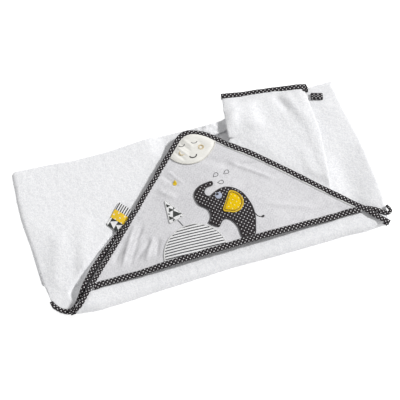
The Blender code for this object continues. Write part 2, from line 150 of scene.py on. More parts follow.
def settle(points):
    # the whole bundle has settled: every layer sways and swells together,
    # and the hood's edge eases in on the right of its top
    x, y, z = points.T
    wide = settling["sway"]
    edge = (settling["hoodSum"] - x - y) / root2
    ease = smooth(1 - edge / settling["easeReach"]) * smooth((z - settling["easeFloor"]) / 0.0010)
    ease = ease * settling["ease"] * smooth((x + 0.014) / 0.045) * smooth((0.098 - x) / 0.050)
    left, right = settling["backSagX"]
    hollowBack = (smooth((x - left) / 0.030) * smooth((right - x) / 0.009)
                  * smooth((y - settling["backSagY"]) / 0.030))
    low, high = settling["rightSagY"]
    hollowRight = (np.exp(-((x - settling["rightSagX"]) / settling["rightSagWidth"]) ** 2)
                   * smooth((high - y) / 0.045) * smooth((y - low) / 0.020))
    sag = settling["backSag"] * hollowBack + settling["rightSag"] * hollowRight
    sag = sag * (1 - smooth((z - settling["sagTop"]) / settling["sagFade"]))
    return np.stack([x + wide * swayX(x, y), y + wide * swayY(x, y) - ease,
                     z * (1 + settling["swell"] * swell(x, y)) * (1 - sag)], axis=1)


# outlines

def rounded(corners, radii, steps=5):
    made = []
    count = len(corners)
    for index in range(count):
        here = Vector(corners[index])
        back = Vector(corners[index - 1]) - here
        ahead = Vector(corners[(index + 1) % count]) - here
        radius = radii[index] if isinstance(radii, (list, tuple)) else radii
        half = back.angle(ahead) / 2
        reach = min(radius / math.tan(half), 0.48 * min(back.length, ahead.length))
        radius = reach * math.tan(half)
        back.normalize()
        ahead.normalize()
        if radius < 1e-5 or half > 1.54:
            made.append(tuple(here))
            continue
        middle = here + (back + ahead).normalized() * (radius / math.sin(half))
        first = here + back * reach - middle
        last = here + ahead * reach - middle
        turn = first.angle_signed(last)
        for step in range(steps + 1):
            angle = math.atan2(first.y, first.x) - turn * step / steps
            made.append((middle.x + radius * math.cos(angle), middle.y + radius * math.sin(angle)))
    return made


def throughPoints(points, steps=6, closed=True):
    made = []
    count = len(points)
    spans = count if closed else count - 1
    for index in range(spans):
        picks = [index + shift for shift in (-1, 0, 1, 2)]
        picks = [pick % count if closed else min(max(pick, 0), count - 1) for pick in picks]
        a, b, c, d = (np.array(points[pick], float) for pick in picks)
        for step in range(steps):
            t = step / steps
            made.append(0.5 * (2 * b + (c - a) * t + (2 * a - 5 * b + 4 * c - d) * t ** 2
                               + (3 * b - a - 3 * c + d) * t ** 3))
    if not closed:
        made.append(np.array(points[-1], float))
    return np.array(made)


def evenly(points, step, closed=True):
    points = np.array(points, float)
    if closed:
        points = np.vstack([points, points[:1]])
    lengths = np.r_[0, np.cumsum(np.linalg.norm(np.diff(points, axis=0), axis=1))]
    count = max(int(round(lengths[-1] / step)), 3)
    places = np.linspace(0, lengths[-1], count + 1)
    if closed:
        places = places[:-1]
    return np.stack([np.interp(places, lengths, points[:, axis]) for axis in range(points.shape[1])], axis=1)


def circle(centre, radius, steps=48):
    angles = np.arange(steps) * 2 * halfTurn / steps
    return np.stack([centre[0] + radius * np.cos(angles), centre[1] + radius * np.sin(angles)], axis=1)


def arcPoints(centre, wide, tall, first, last, steps):
    # part of an ellipse, from one angle to another, counted in half turns
    angles = np.linspace(halfTurn * first, halfTurn * last, steps)
    return [(centre[0] + wide * math.cos(angle), centre[1] + tall * math.sin(angle)) for angle in angles]


def polygonArea(outline):
    x, y = np.array(outline, float).T
    return 0.5 * float(np.sum(x * np.roll(y, -1) - y * np.roll(x, -1)))


def edgeDistance(points, outline, closed=True):
    start = outline if closed else outline[:-1]
    run = (np.roll(outline, -1, axis=0) if closed else outline[1:]) - start
    square = (run ** 2).sum(1)
    found = []
    for part in np.array_split(points, max(1, len(points) // 3000)):
        rel = part[:, None, :] - start[None]
        t = np.clip((rel * run).sum(2) / square, 0, 1)
        found.append(np.sqrt(((rel - run * t[..., None]) ** 2).sum(2)).min(1))
    return np.concatenate(found)


def inside(points, outline):
    x, y = points.T
    odd = np.zeros(len(points), bool)
    for (ax, ay), (bx, by) in zip(outline, np.roll(outline, -1, axis=0)):
        crosses = (ay > y) != (by > y)
        if crosses.any():
            odd ^= crosses & (x < (bx - ax) * (y - ay) / (by - ay + 1e-18) + ax)
    return odd


# cloth

def newMesh(name, points, faces):
    data = bpy.data.meshes.new(name)
    corners = [tuple(int(index) for index in face) for face in faces]
    data.from_pydata([tuple(point) for point in points], [], corners)
    made = bpy.data.objects.new(name, data)
    bpy.context.scene.collection.objects.link(made)
    data.shade_smooth()
    return made


def upright(count):
    return np.repeat(up[None], count, axis=0)


def layUv(made, flatPlaces):
    uv = made.data.uv_layers.new(name="cloth")
    loops = np.zeros(len(made.data.loops), int)
    made.data.loops.foreach_get("vertex_index", loops)
    uv.data.foreach_set("uv", np.asarray(flatPlaces)[loops].astype(np.float32).ravel())


def clothSheet(name, outline, place, thickness, cell, pile=0.0, lumps=0.0, seed=1):
    # a closed sheet cut to the outline, with soft round edges, laid where place() puts it
    if polygonArea(outline) < 0:
        outline = outline[::-1]
    edge = thickness / 2
    rim = evenly(outline, min(cell, 0.003))
    ahead = np.roll(rim, -1, axis=0) - np.roll(rim, 1, axis=0)
    inward = np.stack([-ahead[:, 1], ahead[:, 0]], axis=1) / np.linalg.norm(ahead, axis=1)[:, None]
    chosen = [rim]
    for share in (0.12, 0.4, 1.0):
        ring = rim + inward * edge * share
        ring = ring[inside(ring, rim)]
        if len(ring):
            chosen.append(ring[edgeDistance(ring, rim) > 0.9 * edge * share])
    low = rim.min(0)
    high = rim.max(0)
    rows = np.arange(low[1], high[1], cell * 0.866)
    spots = []
    for number, row in enumerate(rows):
        xs = np.arange(low[0] + (number % 2) * cell / 2, high[0], cell)
        spots.append(np.stack([xs, np.full_like(xs, row)], axis=1))
    spots = np.concatenate(spots)
    spots += np.random.default_rng(seed).uniform(-0.12, 0.12, spots.shape) * cell
    spots = spots[inside(spots, rim)]
    spots = spots[edgeDistance(spots, rim) > edge + 0.45 * cell]
    chosen.append(spots)
    flat = np.concatenate(chosen)
    count = len(rim)
    rimEdges = [(index, (index + 1) % count) for index in range(count)]
    cut = delaunay_2d_cdt([Vector(p) for p in flat], rimEdges, [], 1, 1e-7)
    flat = np.array([tuple(v) for v in cut[0]])
    faces = np.array([tuple(f) for f in cut[2]])
    depth = edgeDistance(flat, rim)
    onRim = depth < 1e-6
    share = np.clip(depth / edge, 0, 1)
    half = thickness / 2 * np.sqrt(1 - (1 - share) ** 2)
    middle, normal = place(flat)
    rough = np.random.default_rng(seed + 50)
    lump = Drift(seed + 90, 0.0075)
    above = half + share * (lumps * lump(*flat.T) + pile * rough.uniform(-1, 1, len(flat)))
    lumpsBelow = lumps * lump(flat[:, 0] + 0.5, flat[:, 1]) * 0.4
    below = half + share * (lumpsBelow + 0.4 * pile * rough.uniform(-1, 1, len(flat)))
    top = middle + normal * above[:, None]
    bottom = middle - normal * below[:, None]
    under = np.arange(len(flat))
    free = np.flatnonzero(~onRim)
    under[free] = len(flat) + np.arange(len(free))
    points = settle(np.vstack([top, bottom[free]]))
    made = newMesh(name, points, np.vstack([faces, under[faces][:, ::-1]]))
    layUv(made, np.vstack([flat, flat[free]]))
    return made


def terrySheet(name, outline, place, seed):
    return clothSheet(name, outline, place, terry["thickness"], terry["cell"], terry["pile"], terry["lumps"],
                      seed)


def sweep(name, path, normals, section, closed=False):
    # a section carried along a path; its first number is across, its second away from the cloth
    path = np.asarray(path, float)
    normals = np.asarray(normals, float)
    if closed:
        tangent = np.roll(path, -1, axis=0) - np.roll(path, 1, axis=0)
    else:
        tangent = np.gradient(path, axis=0)
    tangent /= np.linalg.norm(tangent, axis=1)[:, None]
    side = np.cross(normals, tangent)
    side /= np.linalg.norm(side, axis=1)[:, None]
    lift = np.cross(tangent, side)
    section = np.asarray(section, float)
    if section.ndim == 2:
        section = np.repeat(section[None], len(path), axis=0)
    points = path[:, None] + side[:, None] * section[..., :1] + lift[:, None] * section[..., 1:]
    rings, around = section.shape[:2]
    points = settle(points.reshape(-1, 3))
    faces = []
    for ring in range(rings if closed else rings - 1):
        first = ring * around
        second = ((ring + 1) % rings) * around
        for index in range(around):
            follow = (index + 1) % around
            faces.append((first + index, first + follow, second + follow, second + index))
    if not closed:
        faces.append(tuple(range(around))[::-1])
        faces.append(tuple((rings - 1) * around + index for index in range(around)))
    made = newMesh(name, points, faces)
    along = np.r_[0, np.cumsum(np.linalg.norm(np.diff(path, axis=0), axis=1))]
    rim = section[0]
    girth = np.r_[0, np.cumsum(np.linalg.norm(np.diff(np.vstack([rim, rim[:1]]), axis=0), axis=1))]
    uv = made.data.uv_layers.new(name="cloth")
    values = []
    for ring in range(rings if closed else rings - 1):
        nextAlong = along[ring + 1] if ring + 1 < rings else along[-1] + np.linalg.norm(path[0] - path[-1])
        for index in range(around):
            values += [along[ring], girth[index], along[ring], girth[index + 1],
                       nextAlong, girth[index + 1], nextAlong, girth[index]]
    if not closed:
        values += [0.00145, 0.0] * (2 * around)   # the cut ends show plain cloth
    uv.data.foreach_set("uv", values)
    made.data.update()
    return made


def tapeSection(width, low, high, slot):
    # a folded tape seen from its end: puffy outside, wrapped round an edge that lies in the slot
    across = width / 2
    middle = (low + high) / 2
    tall = (high - low) / 2
    outer = []
    for step in range(15):
        angle = halfTurn / 2 + halfTurn * step / 14
        c, s = math.cos(angle), math.sin(angle)
        outer.append((-across * abs(c) ** 0.62, middle + math.copysign(tall * abs(s) ** 0.62, s)))
    inner = [(across * 0.55, low + (slot[0] - low) * 0.12), (across, slot[0] - (slot[0] - low) * 0.45),
             (across, slot[0]), (across * 0.4, slot[0]), (-across + tape["thickness"], slot[0] + 0.0001),
             (-across + tape["thickness"], slot[1] - 0.0001), (across * 0.4, slot[1]), (across, slot[1]),
             (across, slot[1] + (high - slot[1]) * 0.45), (across * 0.55, high - (high - slot[1]) * 0.12)]
    return inner[4:] + outer + inner[:4]   # starts in the slot, where no print shows


def roundSection(wide, tall, steps=8, lift=0.0):
    angles = [2 * halfTurn * step / steps for step in range(steps)]
    return [(wide * math.cos(angle), lift + tall * math.sin(angle)) for angle in angles]


# finishes

class Signal:
    # one shader socket, with arithmetic
    def __init__(self, tree, socket):
        self.tree = tree
        self.socket = socket

    def calc(self, operation, *others, reverse=False, clamp=False):
        node = self.tree.nodes.new("ShaderNodeMath")
        node.operation = operation
        node.use_clamp = clamp
        values = [self, *others]
        if reverse:
            values = values[::-1]
        for socket, value in zip(node.inputs, values):
            attach(self.tree, socket, value)
        return Signal(self.tree, node.outputs[0])

    def __add__(self, other):
        return self.calc("ADD", other)

    def __sub__(self, other):
        return self.calc("SUBTRACT", other)

    def __mul__(self, other):
        return self.calc("MULTIPLY", other)

    def __truediv__(self, other):
        return self.calc("DIVIDE", other)

    def __rsub__(self, other):
        return self.calc("SUBTRACT", other, reverse=True)

    def __rtruediv__(self, other):
        return self.calc("DIVIDE", other, reverse=True)

    __radd__ = __add__
    __rmul__ = __mul__

    def below(self, limit):
        return self.calc("LESS_THAN", limit)

    def above(self, limit):
        return self.calc("GREATER_THAN", limit)

    def fraction(self):
        return self.calc("FRACT")

    def wave(self):
        return self.calc("SINE")

    def size(self):
        return self.calc("ABSOLUTE")

    def least(self, other):
        return self.calc("MINIMUM", other)

    def most(self, other):
        return self.calc("MAXIMUM", other)

    def between(self, low, high):
        # 0 at low and under, 1 at high and over, with soft ends
        node = self.tree.nodes.new("ShaderNodeMapRange")
        node.interpolation_type = "SMOOTHSTEP"
        for name, value in (("Value", self), ("From Min", low), ("From Max", high),
                            ("To Min", 0.0), ("To Max", 1.0)):
            attach(self.tree, node.inputs[name], value)
        return Signal(self.tree, node.outputs[0])


def attach(tree, socket, value):
    if isinstance(value, Signal):
        tree.links.new(value.socket, socket)
    else:
        socket.default_value = value


class Finish:
    # one material under construction
    def __init__(self, name):
        self.material = bpy.data.materials.new(name)
        self.material.use_nodes = True
        self.tree = self.material.node_tree
        self.shader = self.tree.nodes["Principled BSDF"]

    def node(self, kind, settings=None, output=0, **values):
        made = self.tree.nodes.new(kind)
        for name, value in (settings or {}).items():
            setattr(made, name, value)
        for name, value in values.items():
            attach(self.tree, made.inputs[name.replace("_", " ")], value)
        return Signal(self.tree, made.outputs[output])

    def flat(self):
        # the cloth's own flat coordinates, in metres
        vector = self.node("ShaderNodeUVMap", {"uv_map": "cloth"})
        split = self.tree.nodes.new("ShaderNodeSeparateXYZ")
        attach(self.tree, split.inputs[0], vector)
        return vector, Signal(self.tree, split.outputs[0]), Signal(self.tree, split.outputs[1])

    def vector(self, x, y, z=0.0):
        return self.node("ShaderNodeCombineXYZ", X=x, Y=y, Z=z)

    def noise(self, place, scale, detail=2.0, rough=0.5, distortion=0.0):
        return self.node("ShaderNodeTexNoise", Vector=place, Scale=scale, Detail=detail, Roughness=rough,
                         Distortion=distortion)

    def mixColour(self, factor, first, second):
        made = self.tree.nodes.new("ShaderNodeMix")
        made.data_type = "RGBA"
        attach(self.tree, made.inputs[0], factor)
        attach(self.tree, made.inputs[6], colourOf(first))
        attach(self.tree, made.inputs[7], colourOf(second))
        return Signal(self.tree, made.outputs[2])

    def bump(self, height, distance, strength=1.0, under=None):
        made = self.tree.nodes.new("ShaderNodeBump")
        attach(self.tree, made.inputs["Strength"], strength)
        attach(self.tree, made.inputs["Distance"], distance)
        attach(self.tree, made.inputs["Height"], height)
        if under is not None:
            attach(self.tree, made.inputs["Normal"], under)
        return Signal(self.tree, made.outputs[0])

    def set(self, **values):
        for name, value in values.items():
            value = colourOf(value) if "Color" in name else value
            attach(self.tree, self.shader.inputs[name.replace("_", " ")], value)
        return self.material


def colourOf(value):
    if isinstance(value, tuple) and len(value) == 3:
        return (*value, 1.0)
    return value


def terryFinish():
    look = {"white": (0.905, 0.905, 0.912), "shade": (0.785, 0.79, 0.815), "loop": 640.0, "depth": 0.0006}
    made = Finish("white looped terry")
    place, u, v = made.flat()
    sway = made.noise(place, 260.0, 2.0) - 0.5
    across = u * look["loop"] + sway * 1.6
    along = v * look["loop"] + sway * 1.1
    loops = made.node("ShaderNodeTexVoronoi", {"feature": "F1"}, Vector=made.vector(across, along), Scale=1.0,
                      Randomness=0.85)
    fine = made.noise(place, 1500.0, 2.0, 0.6)
    tufts = made.noise(place, 330.0, 3.0, 0.65)
    broad = made.noise(place, 26.0, 2.0, 0.5)
    height = (1.0 - loops) * 0.45 + fine * 0.25 + tufts * 0.9
    # painted shade: where the loop height is low, in the pits between the loops, the colour turns to the
    # darker bluish shade colour
    pitShade = height.between(0.60, 1.00)
    colour = made.mixColour(pitShade, look["shade"], look["white"])
    colour = made.mixColour(broad.between(0.35, 0.7) * 0.12, colour, (0.91, 0.91, 0.915))
    return made.set(Base_Color=colour, Roughness=0.97, Sheen_Weight=0.25, Sheen_Roughness=0.6,
                    Specular_IOR_Level=0.12, Normal=made.bump(height, look["depth"], 0.8))


def dotCover(u, v, pitch, radius, wobble):
    # staggered round dots: 1 on a dot, 0 between
    pu = u / pitch + wobble
    pv = v / pitch + wobble * 0.7
    found = None
    for shift in (0.0, 0.5):
        du = (pu + shift).fraction() - 0.5
        dv = (pv + shift).fraction() - 0.5
        distance = (du * du + dv * dv).calc("SQRT")
        found = distance if found is None else found.least(distance)
    edge = radius / pitch
    return 1.0 - found.between(edge * 0.78, edge * 1.18)


def weave(u, v, pitch):
    # plain weave: threads that cross over and under
    over = (u * (halfTurn / pitch)).wave()
    under = (v * (halfTurn / pitch)).wave()
    return over.size() * 0.5 + under.size() * 0.5


def dottedFinish(name, ground, dot, pitch=0.0058, radius=0.00076):
    made = Finish(name)
    place, u, v = made.flat()
    wobble = (made.noise(place, 420.0, 2.0) - 0.5) * 0.14
    cover = dotCover(u, v, pitch, radius, wobble)
    shade = made.noise(place, 900.0, 3.0, 0.65).between(0.3, 0.75)
    dark = made.mixColour(shade, tuple(c * 0.7 for c in ground), tuple(c * 1.25 for c in ground))
    colour = made.mixColour(cover, dark, dot)
    height = weave(u, v, 0.00042) + cover * 0.4 + made.noise(place, 180.0, 2.0) * 1.5
    return made.set(Base_Color=colour, Roughness=0.9, Sheen_Weight=0.0, Specular_IOR_Level=0.1,
                    Normal=made.bump(height, 0.00022, 0.8))


def chambrayFinish():
    look = {"pale": (0.755, 0.75, 0.77), "grey": (0.57, 0.565, 0.585), "turn": math.radians(17.0)}
    made = Finish("grey chambray")
    place, u, v = made.flat()
    c, s = math.cos(look["turn"]), math.sin(look["turn"])
    warp = u * c - v * s
    weft = v * c + u * s
    slub = made.noise(made.vector(warp, weft * 0.3), 760.0, 3.0, 0.6)
    cross = made.noise(made.vector(warp * 0.3, weft), 760.0, 3.0, 0.6)
    heather = slub * 0.55 + cross * 0.45
    pins = dotCover(u, v, 0.0046, 0.00055, 0.0)
    patchy = made.noise(place, 55.0, 3.0, 0.55)
    colour = made.mixColour(heather.between(0.36, 0.64), look["grey"], look["pale"])
    colour = made.mixColour(patchy.between(0.35, 0.7) * 0.35, colour, (0.79, 0.785, 0.80))
    colour = made.mixColour(pins * 0.45, colour, (0.88, 0.875, 0.88))
    height = weave(warp, weft, 0.0005) * 0.5 + heather * 0.8
    return made.set(Base_Color=colour, Roughness=0.88, Sheen_Weight=0.1, Specular_IOR_Level=0.2,
                    Normal=made.bump(height, 0.00022, 0.7))


def plainFinish(name, ground, grain=0.12):
    made = Finish(name)
    place, u, v = made.flat()
    shade = made.noise(place, 500.0, 3.0, 0.6).between(0.3, 0.7)
    colour = made.mixColour(shade, tuple(c * (1 - grain) for c in ground), ground)
    height = weave(u, v, 0.00045) + made.noise(place, 240.0, 2.0)
    return made.set(Base_Color=colour, Roughness=0.85, Sheen_Weight=0.1, Specular_IOR_Level=0.2,
                    Normal=made.bump(height, 0.00018, 0.8))


def threadFinish(name, ground, pitch=0.0011):
    # laid or twisted thread: fine slanting strands along the line
    made = Finish(name)
    place, u, v = made.flat()
    strands = ((u + v * 0.6) * (2 * halfTurn / pitch)).wave() * 0.5 + 0.5
    fine = made.noise(place, 1200.0, 2.0)
    colour = made.mixColour(strands, tuple(c * 0.65 for c in ground), ground)
    return made.set(Base_Color=colour, Roughness=0.5, Sheen_Weight=0.15, Specular_IOR_Level=0.4,
                    Normal=made.bump(strands + fine * 0.4, 0.0002, 0.7))


def satinFinish():
    made = Finish("cream satin")
    u, v = made.flat()[1:]
    shimmer = made.noise(made.vector(u * 0.15, v), 700.0, 3.0, 0.6)
    colour = made.mixColour(shimmer.between(0.3, 0.7), (0.78, 0.765, 0.715), (0.85, 0.84, 0.80))
    return made.set(Base_Color=colour, Roughness=0.5, Sheen_Weight=0.2, Specular_IOR_Level=0.35,
                    Normal=made.bump(shimmer, 0.00012, 0.6))


def stripedFinish():
    look = {"pitch": 0.0041, "dark": 0.38, "slope": 0.06}
    made = Finish("striped cotton")
    place, u, v = made.flat()
    v = v + u * look["slope"]
    drift = made.noise(made.vector(u * 0.4, v), 90.0, 2.0) * 0.05
    share = (v / look["pitch"] + drift).fraction()
    cover = (share - 0.5).size()
    cover = 1.0 - cover.between(look["dark"] / 2 - 0.03, look["dark"] / 2 + 0.03)
    colour = made.mixColour(cover, (0.86, 0.86, 0.865), (0.045, 0.045, 0.05))
    height = weave(u, v, 0.00045) + made.noise(place, 260.0, 2.0)
    return made.set(Base_Color=colour, Roughness=0.85, Sheen_Weight=0.1, Specular_IOR_Level=0.2,
                    Normal=made.bump(height, 0.00018, 0.8))


def triangleFinish():
    # rows of dark triangles of mixed size on white
    made = Finish("triangle print")
    u, v = made.flat()[1:]
    look = {"wide": 0.0160, "tall": 0.0128, "turn": math.radians(-17.0), "shiftX": 0.42, "shiftY": 0.42}
    c, s = math.cos(look["turn"]), math.sin(look["turn"])
    across = (u * c + v * s) / look["wide"] + look["shiftX"]
    along = (v * c - u * s) / look["tall"] + look["shiftY"]
    cover = None
    for shiftX, shiftY, size in ((0.0, 0.0, 1.0), (0.36, 0.5, 0.62)):
        column = (across + shiftX).fraction() / (0.80 * size)
        row = ((along + shiftY).fraction() - 0.5).size()
        part = row.calc("LESS_THAN", (1.0 - column) * 0.44 * size)
        cover = part if cover is None else cover.most(part)
    colour = made.mixColour(cover, (0.87, 0.87, 0.875), (0.06, 0.065, 0.062))
    height = weave(u, v, 0.00045)
    return made.set(Base_Color=colour, Roughness=0.85, Sheen_Weight=0.1, Specular_IOR_Level=0.2,
                    Normal=made.bump(height, 0.00018, 0.8))


def ribbonFinish():
    # three printed bands: stripes, dots on yellow, dark triangles
    made = Finish("printed ribbon")
    place, u, v = made.flat()
    stripe = (v / 0.0036 + 0.2).fraction().below(0.45)
    striped = made.mixColour(stripe, (0.88, 0.88, 0.88), (0.03, 0.03, 0.035))
    dots = dotCover(u, v, 0.0105, 0.0011, made.noise(place, 100.0) * 0.1)
    dotted = made.mixColour(dots, (0.93, 0.62, 0.03), (0.95, 0.93, 0.86))
    slope = (v / 0.0105 + 0.05).fraction()
    wedge = ((u / 0.0125 + 0.98).fraction() - 0.5).size()
    wedge = wedge.calc("LESS_THAN", (slope - 0.04) * 0.52)
    pointed = made.mixColour(wedge, (0.88, 0.88, 0.88), (0.04, 0.045, 0.042))
    first = u.above(0.0067)
    last = u.below(-0.0062)
    colour = made.mixColour(first, made.mixColour(last, dotted, pointed), striped)
    height = weave(u, v, 0.0005) + made.noise(place, 200.0, 2.0)
    return made.set(Base_Color=colour, Roughness=0.6, Sheen_Weight=0.1, Specular_IOR_Level=0.3,
                    Normal=made.bump(height, 0.00018, 0.8))


finishes = {
    "terry": terryFinish(),
    "lining": plainFinish("white cotton lining", (0.86, 0.86, 0.855)),
    "chambray": chambrayFinish(),
    "tape": dottedFinish("charcoal dotted tape", (0.036, 0.031, 0.034), (0.86, 0.86, 0.86)),
    "cotton": dottedFinish("charcoal dotted cotton", (0.040, 0.034, 0.037), (0.74, 0.74, 0.74),
                           0.0064, 0.00078),
    "satin": satinFinish(),
    "yellow": dottedFinish("yellow dotted cotton", (0.93, 0.62, 0.006), (0.93, 0.82, 0.42), 0.0088, 0.0008),
    "striped": stripedFinish(),
    "triangles": triangleFinish(),
    "ribbon": ribbonFinish(),
    "felt": plainFinish("pale blue felt", (0.50, 0.55, 0.68), grain=0.2),
    "dark": threadFinish("charcoal thread", (0.035, 0.032, 0.036)),
    "grey": threadFinish("grey thread", (0.10, 0.10, 0.11)),
    "pale": threadFinish("white thread", (0.86, 0.86, 0.85)),
    "gold": threadFinish("pale yellow thread", (0.82, 0.68, 0.42)),
    "cream": threadFinish("cream thread", (0.82, 0.80, 0.74)),
    "earThread": threadFinish("yellow thread", (0.93, 0.64, 0.02)),
    "darkGold": threadFinish("ochre thread", (0.42, 0.26, 0.01)),
}


def dress(made, finish, body=None, replacing=()):
    made.data.materials.append(finishes[finish])
    if body is not None:
        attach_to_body(made, body)
    if replacing:
        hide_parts(*replacing)
    return made


print("finishes ready")


# hood shape

panelLow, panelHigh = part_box("hood_panel")
seamInset = tape["width"] / 2 - tape["thickness"] - 0.0003
hood = {
    "centre": (panelLow.x + panelHigh.x) / 2,
    "hem": panelLow.y,
    "mouth": panelLow.y + seamInset,
    "radius": 0.034,
    "rise": 0.0065,
    "ramp": 0.085,
    "thickness": 0.0008,
}
hood["apex"] = hood["hem"] + (panelHigh.x - panelLow.x) / 2 - seamInset * root2


def hoodOutline(outset, front, steps=14):
    # a right-angled triangle with a round top; outset moves its legs outwards
    apex = hood["apex"] + outset * root2
    radius = hood["radius"] + outset
    centre = apex - radius * root2
    reach = apex - front
    arc = []
    for step in range(steps + 1):
        angle = math.radians(45 + 90 * step / steps)
        arc.append((hood["centre"] + radius * math.cos(angle), centre + radius * math.sin(angle)))
    return [(hood["centre"] - reach, front), (hood["centre"] + reach, front)] + arc


def pocketRise(x, y):
    y = np.maximum(y, hood["mouth"] + tape["width"])
    rise = hood["rise"]
    for sign in (1, -1):
        away = (sign * (x - hood["centre"]) + hood["apex"] - y) / root2
        rise = rise * smooth((away - tape["width"]) / hood["ramp"])
    return rise


ripple = Drift(11, 0.034)
crumple = Drift(12, 0.013)
pucker = Drift(13, 0.0065)
hoodCreases = [   # start, end, width, height
    ((0.050, 0.032), (0.112, -0.018), 0.0026, 0.0011),
    ((0.058, 0.024), (0.104, 0.016), 0.0022, -0.0009),
    ((-0.050, 0.044), (-0.026, 0.012), 0.0020, -0.0008),
    ((-0.040, 0.048), (-0.018, 0.014), 0.0016, 0.0008),
    ((-0.132, -0.062), (-0.094, -0.040), 0.0034, 0.0013),
    ((-0.120, -0.078), (-0.086, -0.050), 0.0030, -0.0013),
    ((-0.104, -0.082), (-0.082, -0.046), 0.0030, 0.0013),
    ((-0.088, -0.080), (-0.076, -0.052), 0.0026, -0.0011),
    ((-0.150, -0.076), (-0.112, -0.018), 0.0034, -0.0016),
    ((-0.140, -0.084), (-0.098, -0.010), 0.0030, 0.0016),
    ((-0.128, -0.084), (-0.090, -0.020), 0.0026, -0.0012),
    ((-0.118, -0.030), (-0.080, 0.010), 0.0044, -0.0012),
    ((-0.060, 0.020), (-0.034, -0.004), 0.0040, 0.0010),
    ((0.085, -0.050), (0.150, -0.072), 0.0040, 0.0011),
    ((0.010, 0.050), (0.060, 0.020), 0.0060, -0.0009),
]


def hoodFace(x, y):
    # height of the grey panel's top
    found = panelLow.z + hood["thickness"] + pocketRise(x, y)
    legs = np.minimum(x - hood["centre"] + hood["apex"] - y, hood["centre"] - x + hood["apex"] - y) / root2
    hemward = y - hood["mouth"]
    free = smooth((np.minimum(legs, hemward) - 0.004) / 0.012)
    found = found + free * (0.0007 * (ripple(x, y) + 0.35) + 0.00022 * crumple(x, y))
    seam = np.exp(-((np.minimum(legs, hemward) - 0.009) / 0.006) ** 2)
    found = found + 0.00025 * seam * pucker(x * 0.8, y * 0.8)
    return found + free * 1.6 * creased(x, y, hoodCreases)


def onHood(lift):
    def place(flat):
        x, y = flat.T
        return np.stack([x, y, hoodFace(x, y) + lift], axis=1), upright(len(flat))
    return place


# towel back: hood corner, front fold, bottom, back fold, upper layer

backCloth = {
    "frontRadius": (heights["corner"] - heights["bottom"]) / 2,
    "backRadius": (heights["upper"] - heights["bottom"]) / 2,
    "noseRadius": (heights["upper"] - heights["bottom"]) / 2,
    "upperLeft": -0.2375,
}
# the back and front edges of the bundle, and how far its right edge stands out along the depth
backEdge = np.array([(-0.262, 0.1105), (-0.232, 0.1095), (-0.200, 0.1050), (-0.150, 0.1000), (-0.110, 0.0992),
                     (-0.045, 0.1036), (-0.010, 0.1024), (0.020, 0.1004), (0.060, 0.0990), (0.095, 0.1060),
                     (0.130, 0.1140), (0.200, 0.1180), (0.262, 0.1180)])
frontEdge = np.array([(-0.262, -0.1120), (-0.213, -0.1120), (-0.184, -0.1158), (-0.150, -0.1148),
                      (-0.110, -0.1128), (-0.037, -0.1109), (0.008, -0.1094), (0.060, -0.1106),
                      (0.111, -0.1113), (0.179, -0.1116), (0.205, -0.1140), (0.262, -0.1130)])
rightEdge = np.array([(-0.1120, 0.0085), (-0.080, 0.0142), (-0.048, 0.0142), (-0.016, 0.0130),
                      (0.018, 0.0112), (0.050, 0.0072), (0.086, 0.0032), (0.120, 0.0006)])


stripCreases = [   # in the open strip at the right: start, end, width, height
    ((0.222, 0.020), (0.216, -0.080), 0.013, -0.0018),
    ((0.200, 0.115), (0.236, 0.040), 0.012, 0.0007),
]


def frontLine(x):
    return np.interp(x, *frontEdge.T)


def sideways(x, y, share):
    # the layers run out to a slanting right edge
    return x + share * np.interp(y, *rightEdge.T) * smooth((x - 0.185) / 0.055)


def backLine(x):
    return np.interp(x, *backEdge.T) - backCloth["backRadius"] - terry["thickness"] / 2


def placeBack(flat):
    # the second coordinate runs from the hood's tip, round the front fold and the back fold
    x, travel = flat.T
    axis = frontLine(x)
    radius = backCloth["frontRadius"]
    turned = halfTurn * radius
    bottomStart = -axis + turned
    backStart = bottomStart + backLine(x) - axis
    tight = backCloth["backRadius"]
    upperStart = backStart + halfTurn * tight
    front = np.clip((travel + axis) / radius, 0, halfTurn)
    rear = np.clip((travel - backStart) / tight, 0, halfTurn)
    y = np.where(travel < -axis, -travel, axis - radius * np.sin(front))
    y = np.where(travel > bottomStart, axis + travel - bottomStart, y)
    y = np.where(travel > backStart, backLine(x) + tight * np.sin(rear), y)
    y = np.where(travel > upperStart, backLine(x) - (travel - upperStart), y)
    z = heights["bottom"] + radius * (1 + np.cos(front))
    z = np.where(travel > backStart, heights["bottom"] + tight * (1 - np.cos(rear)), z)
    ny = np.where(travel > backStart, np.sin(rear), -np.sin(front))
    nz = np.where(travel > backStart, -np.cos(rear), np.cos(front))
    # the right-hand edges of the upper and lower layers close on each other like a fold
    nose = backCloth["noseRadius"]
    start = bundle["right"] - nose * 0.75 - terry["thickness"] / 2
    angle = np.clip((x - start) / nose, 0, 0.95)
    flatLayer = (travel > bottomStart) & ((travel < backStart) | (travel > upperStart))
    pinch = nose * (1 - np.cos(angle * 1.35)) * smooth((y + 0.115) / 0.02)
    z = np.where(flatLayer & (travel < backStart), z + pinch, z)
    z = np.where(flatLayer & (travel > upperStart), z - pinch, z)
    z = z + np.where(travel > upperStart, creased(x, y, stripCreases), 0.0)
    x = sideways(x, y, smooth(front / halfTurn))
    return np.stack([x, y, z], axis=1), np.stack([np.zeros_like(x), ny, nz], axis=1)


